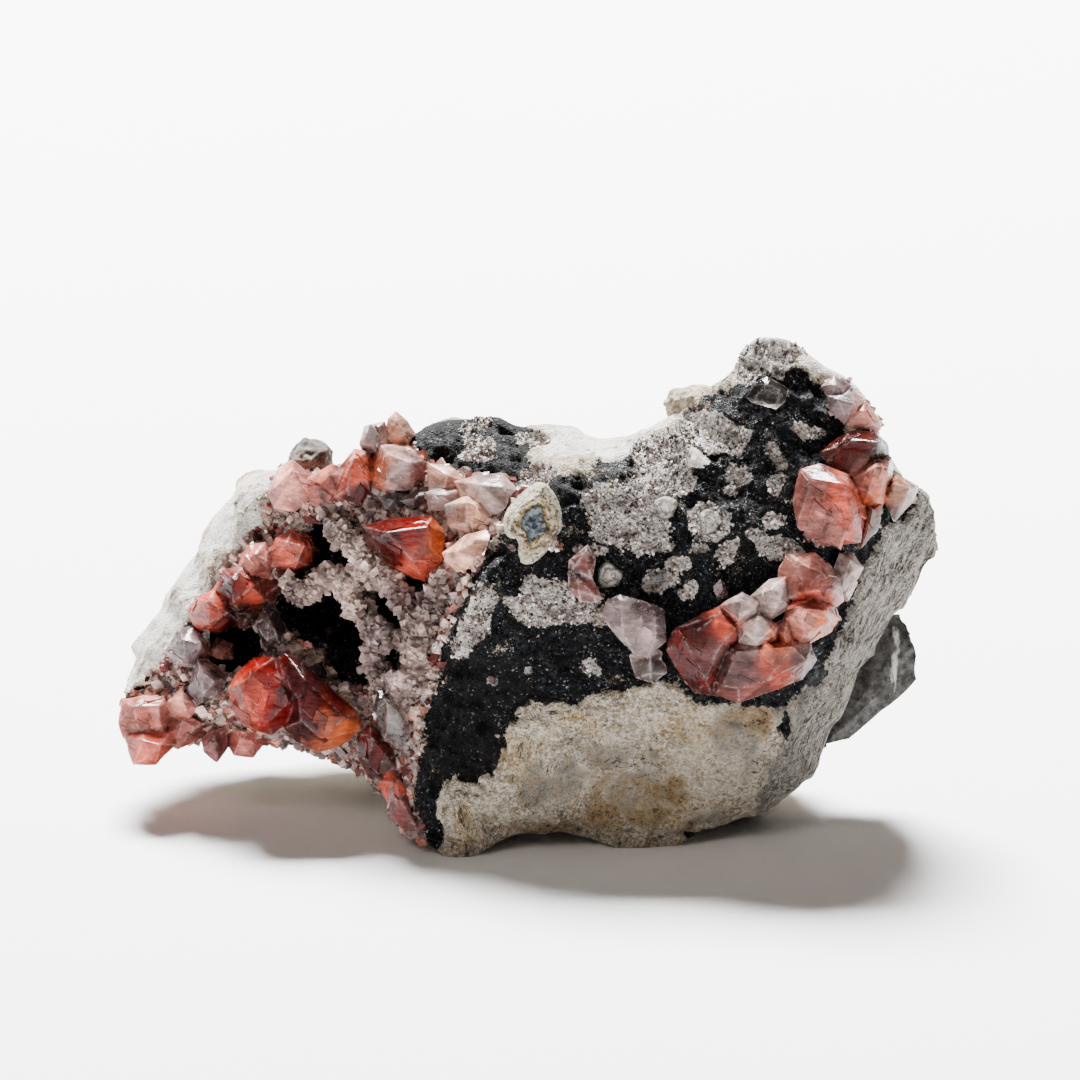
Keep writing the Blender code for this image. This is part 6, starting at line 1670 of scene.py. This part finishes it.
bm = bmesh.new()
for corner in to_world(BACK_SLAB):
    bm.verts.new(corner)
hull = bmesh.ops.convex_hull(bm, input=bm.verts)
spare = {item for item in hull["geom_unused"] + hull["geom_interior"] if isinstance(item, bmesh.types.BMVert)}
bmesh.ops.delete(bm, geom=list(spare), context="VERTS")
cut_fine(bm, SLAB_TRIANGLE)
points, outward, faces = mesh_arrays(bm)
growth = SLAB_ROUGH * layered_noise(points @ SLAB_TURN, 2.2, 203) - SLAB_INSET
points = points + outward * growth[:, None]
make_piece("dark_slab", points, [faces], loose_looks["slab_rock"], crease=40)

# %% The knob and the lump
# Balls: name, centre (u, v), depth behind the rim, radii, seed, look.
ROUGH_BALLS = [
    ("left_knob", (-22.3, 40.0), 1.5, (2.4, 2.1, 4.5), 201, "knob_rock"),
    ("saddle_lump", (16.4, 45.6), 2.0, (2.9, 2.1, 5.0), 202, "lump_rock"),
]
BALL_RINGS, BALL_AROUND = 40, 80
BALL_SWELL, BALL_KNOBS, BALL_GRAIN = 0.16, 0.06, 3.0

tilts = np.linspace(0, np.pi, BALL_RINGS + 2)[1:-1]
tilt, turn = np.meshgrid(tilts, np.linspace(0, 2 * np.pi, BALL_AROUND, endpoint=False), indexing="ij")
ball_rings = np.stack([np.sin(tilt) * np.cos(turn), np.cos(tilt), np.sin(tilt) * np.sin(turn)], axis=-1)
way, ball_faces = closed_rings(ball_rings, np.array([[0.0, 1.0, 0.0], [0.0, -1.0, 0.0]]))
ball_faces = [block[:, ::-1] for block in ball_faces]
for name, centre, behind_rim, radii, seed, look in ROUGH_BALLS:
    centre = np.array([*centre, edge_depth(*centre) - behind_rim])
    swell = BALL_SWELL * layered_noise(way * BALL_GRAIN, 2.4, seed, 4)
    swell = 1.0 + swell - BALL_KNOBS * knobs(way * BALL_GRAIN, 0.9, seed + 3)
    make_piece(name, centre + way * np.array(radii) * swell[:, None], ball_faces, loose_looks[look])

# %% [markdown]
# ## The ring nodule and the white domes
# Left of the patches sits a nodule that grew in rings: cream and ochre rims round a bluish grainy
# heart, standing a millimetre off the black face. Three smaller white domes stand to its right.
# Spinning a profile would make them round, and the real ones aren't. So they are polar grids: one
# parameter runs from the middle to the rim and down into the rock, the other round, with the
# rim's distance read from a drawn outline.

# %% Polar domes
DOME_DEPTH = 1.6
RIM_SMOOTHING = 0.12


def polar_dome(centre, rim, height, ridge_count, seed, fine=70, around=150):
    """Points, faces and share of the way to the rim, for a low dome with concentric ridges."""
    rim = np.array(rim, float) - centre
    angle = np.arctan2(rim[:, 1], rim[:, 0])
    order = np.argsort(angle)
    angle, reach = angle[order], np.linalg.norm(rim, axis=1)[order]
    turn = np.linspace(-np.pi, np.pi, around, endpoint=False)
    shifts = (-RIM_SMOOTHING, 0.0, RIM_SMOOTHING)
    edge = np.mean([np.interp(turn + shift, angle, reach, period=2 * np.pi) for shift in shifts], axis=0)
    share = np.linspace(0.0, 1.0, fine)[1:]
    out = share[:, None] * edge
    flat = np.stack([centre[0] + out * np.cos(turn), centre[1] + out * np.sin(turn), 0.0 * out], axis=-1)
    wander = 0.10 * np.sin(2 * turn + seed) + 0.07 * np.sin(5 * turn)
    ridges = 0.5 - 0.5 * np.cos(2 * np.pi * ridge_count * share[:, None] * (1.0 + wander))
    bulge = np.sqrt(np.clip(1.0 - share ** 6, 0.0, 1.0))[:, None]
    rough = 0.20 * layered_noise(flat, 0.9, seed) + 0.22 * knobs(flat, 0.55, seed + 9)
    lift = (height * (0.70 + 0.22 * ridges) + rough) * bulge
    ground = 0.3 * on_rock(flat[..., 0], flat[..., 1])[..., 2] + 0.7 * on_rock(*centre)[2]
    top = np.stack([flat[..., 0], flat[..., 1], ground + lift], axis=-1)
    rings = np.concatenate([top, top[-1:] - np.array([0.0, 0.0, DOME_DEPTH])])
    ring_share = np.concatenate([np.repeat(share, around), np.ones(around), [0.0, 1.0]])
    return (*closed_rings(rings), ring_share)


print("a dome has", len(polar_dome((0.0, 30.0), [(1, 30), (0, 31), (-1, 30), (0, 29)], 1, 1, 1)[0]), "points")

# %% Rings of colour
RING_FRAY = 0.75
GAP_TINT = (0.03, 0.025, 0.02)


def ringed_material(name, bands, gaps):
    """Colours by the share of the way to the rim, frayed from ring to ring, with dark gaps."""
    material, tree, shader = new_material(name, {"Roughness": 0.7, "Specular IOR Level": 0.25})
    place = object_place(tree)
    fray = combine(tree, "SUBTRACT", noise(tree, place, 700.0, 6.0, 0.75), 0.5)
    fray = combine(tree, "MULTIPLY", fray, RING_FRAY)
    ring = combine(tree, "ADD", attribute(tree, "ring"), fray)
    ramp = node(tree, "ShaderNodeValToRGB", links={"Fac": ring})
    ramp.color_ramp.elements.remove(ramp.color_ramp.elements[1])
    for index, (spot, colour) in enumerate(bands):
        element = ramp.color_ramp.elements[0] if index == 0 else ramp.color_ramp.elements.new(spot)
        element.position = spot
        element.color = (*colour, 1.0)
    dark = mottle(tree, place, (2600.0, 5.0, 0.8), (0.52, 0.58), (0.0, gaps))
    tree.links.new(blend(tree, dark, ramp.outputs[0], GAP_TINT), shader.inputs["Base Color"])
    bump(tree, shader, noise(tree, place, 2600.0, 4.0, 0.7), 0.0003)
    return material


nodule_look = ringed_material("nodule_rings", [
    (0.0, (0.07, 0.10, 0.125)), (0.34, (0.20, 0.24, 0.26)), (0.42, (0.04, 0.035, 0.03)),
    (0.50, (0.34, 0.22, 0.08)), (0.58, (0.60, 0.54, 0.42)), (0.66, (0.22, 0.13, 0.045)),
    (0.72, (0.58, 0.52, 0.40)), (0.81, (0.26, 0.19, 0.09)), (0.87, (0.56, 0.52, 0.42)),
    (1.0, (0.40, 0.35, 0.27)),
], 0.95)
dome_look = ringed_material("white_domes", [
    (0.0, (0.74, 0.72, 0.69)), (0.35, (0.56, 0.54, 0.50)), (0.46, (0.22, 0.19, 0.16)),
    (0.56, (0.52, 0.49, 0.45)), (1.0, (0.20, 0.18, 0.15)),
], 0.75)
print("ringed looks:", nodule_look.name, dome_look.name)

# %% The nodule and the three domes
NODULE_RIM = [(-2.7, 33.6), (-2.3, 35), (-1.2, 36.2), (0.1, 37.4), (1, 38), (2.1, 37.1), (2.9, 35.6),
              (3.2, 34), (3.1, 32.5), (2.3, 31.5), (1.3, 30.5), (0.1, 29.5), (-1.1, 29.7), (-1.3, 30.2),
              (-1, 31), (-1.2, 32), (-2.3, 32.3)]
NODULE_CENTRE, NODULE_HEIGHT, NODULE_RIDGES = (0.4, 33.5), 1.0, 3.5
# Domes: centre (u, v), radius.
WHITE_DOMES = [((13.6, 35.3), 1.15), ((18.0, 33.9), 1.2), ((7.9, 28.4), 1.35)]
DOME_HEIGHT, DOME_RIDGES = 1.1, 0.6

points, faces, ring = polar_dome(NODULE_CENTRE, NODULE_RIM, NODULE_HEIGHT, NODULE_RIDGES, 211)
make_piece("ringed_nodule", points, faces, nodule_look, ["ring_nodule"], {"ring": ring})

turn = np.linspace(0, 2 * np.pi, 14, endpoint=False)
for index, (centre, radius) in enumerate(WHITE_DOMES):
    bumpy = radius * (1.0 + 0.12 * np.sin(3 * turn + index) + 0.08 * np.sin(5 * turn))
    dome_rim = centre + bumpy[:, None] * np.stack([np.cos(turn), np.sin(turn)], axis=-1)
    points, faces, ring = polar_dome(centre, dome_rim, DOME_HEIGHT, DOME_RIDGES, 221 + index, 40, 90)
    make_piece(f"white_dome_{index + 1}", points, faces, dome_look, attributes={"ring": ring})

# %% [markdown]
# ## Single flakes
# A few small clear or white crystals catch the eye on the black face and in the hollow. Strewn by
# chance they would miss the spots that matter, so each one has its own place and size. They are
# rhombohedra again.

# %% Flakes
# Place (u, v), height over the rock, size in millimetres, tint.
FLAKES = [
    (12.5, 28.2, 0.9, 0.75, "clear"), (11.9, 28.4, 0.8, 0.6, "clear"), (13.4, 28.5, 0.9, 0.45, "clear"),
    (19, 27, 0.5, 0.75, "pale"), (19.5, 26.6, 0.5, 0.6, "lilac"), (10.3, 26.9, 0.5, 0.7, "smoky"),
    (-0.3, 18.8, 0.3, 0.5, "clear"), (-4, 18, 0.3, 0.45, "pale"), (2.5, 32, 0.4, 0.6, "pale"),
    (3, 31.4, 0.4, 0.5, "tan"), (-6.3, 36, 2.4, 0.55, "clear"), (-6.7, 39.5, 1.4, 0.5, "clear"),
    (-32.4, 22.3, 3, 0.6, "clear"), (-15.6, 20.9, 3, 0.55, "clear"), (-11.6, 21, 2.6, 0.5, "clear"),
    (-13.8, 20.5, 3.2, 0.45, "clear"), (-31, 20.9, 2.6, 0.6, "lilac"), (-20, 23, 2, 0.8, "lilac"),
    (-17, 24.4, 1.6, 0.9, "peach"), (-21.2, 19.2, 1.6, 1.1, "smoky"), (18.8, 16.4, 0.4, 0.5, "pale"),
    (0.7, 27.2, 0.5, 0.5, "clear"), (-2.1, 31.2, 0.3, 0.4, "pale"),
]
FLAKE_PULL = 0.6
flake_u, flake_v, flake_height, flake_size = np.array([flake[:4] for flake in FLAKES]).T
spots = on_rock(flake_u, flake_v)
spots[:, 2] += flake_height
points, faces = rhomb_cloud(spots, flake_size, np.random.default_rng(43), FLAKE_PULL)
tints = np.array([[*TINT[flake[4]], 1.0] for flake in FLAKES])
make_piece("flakes", points, [faces], SMALL_LOOK["ice"],
           attributes={"tint": np.repeat(tints, 8, axis=0)}, crease=0)
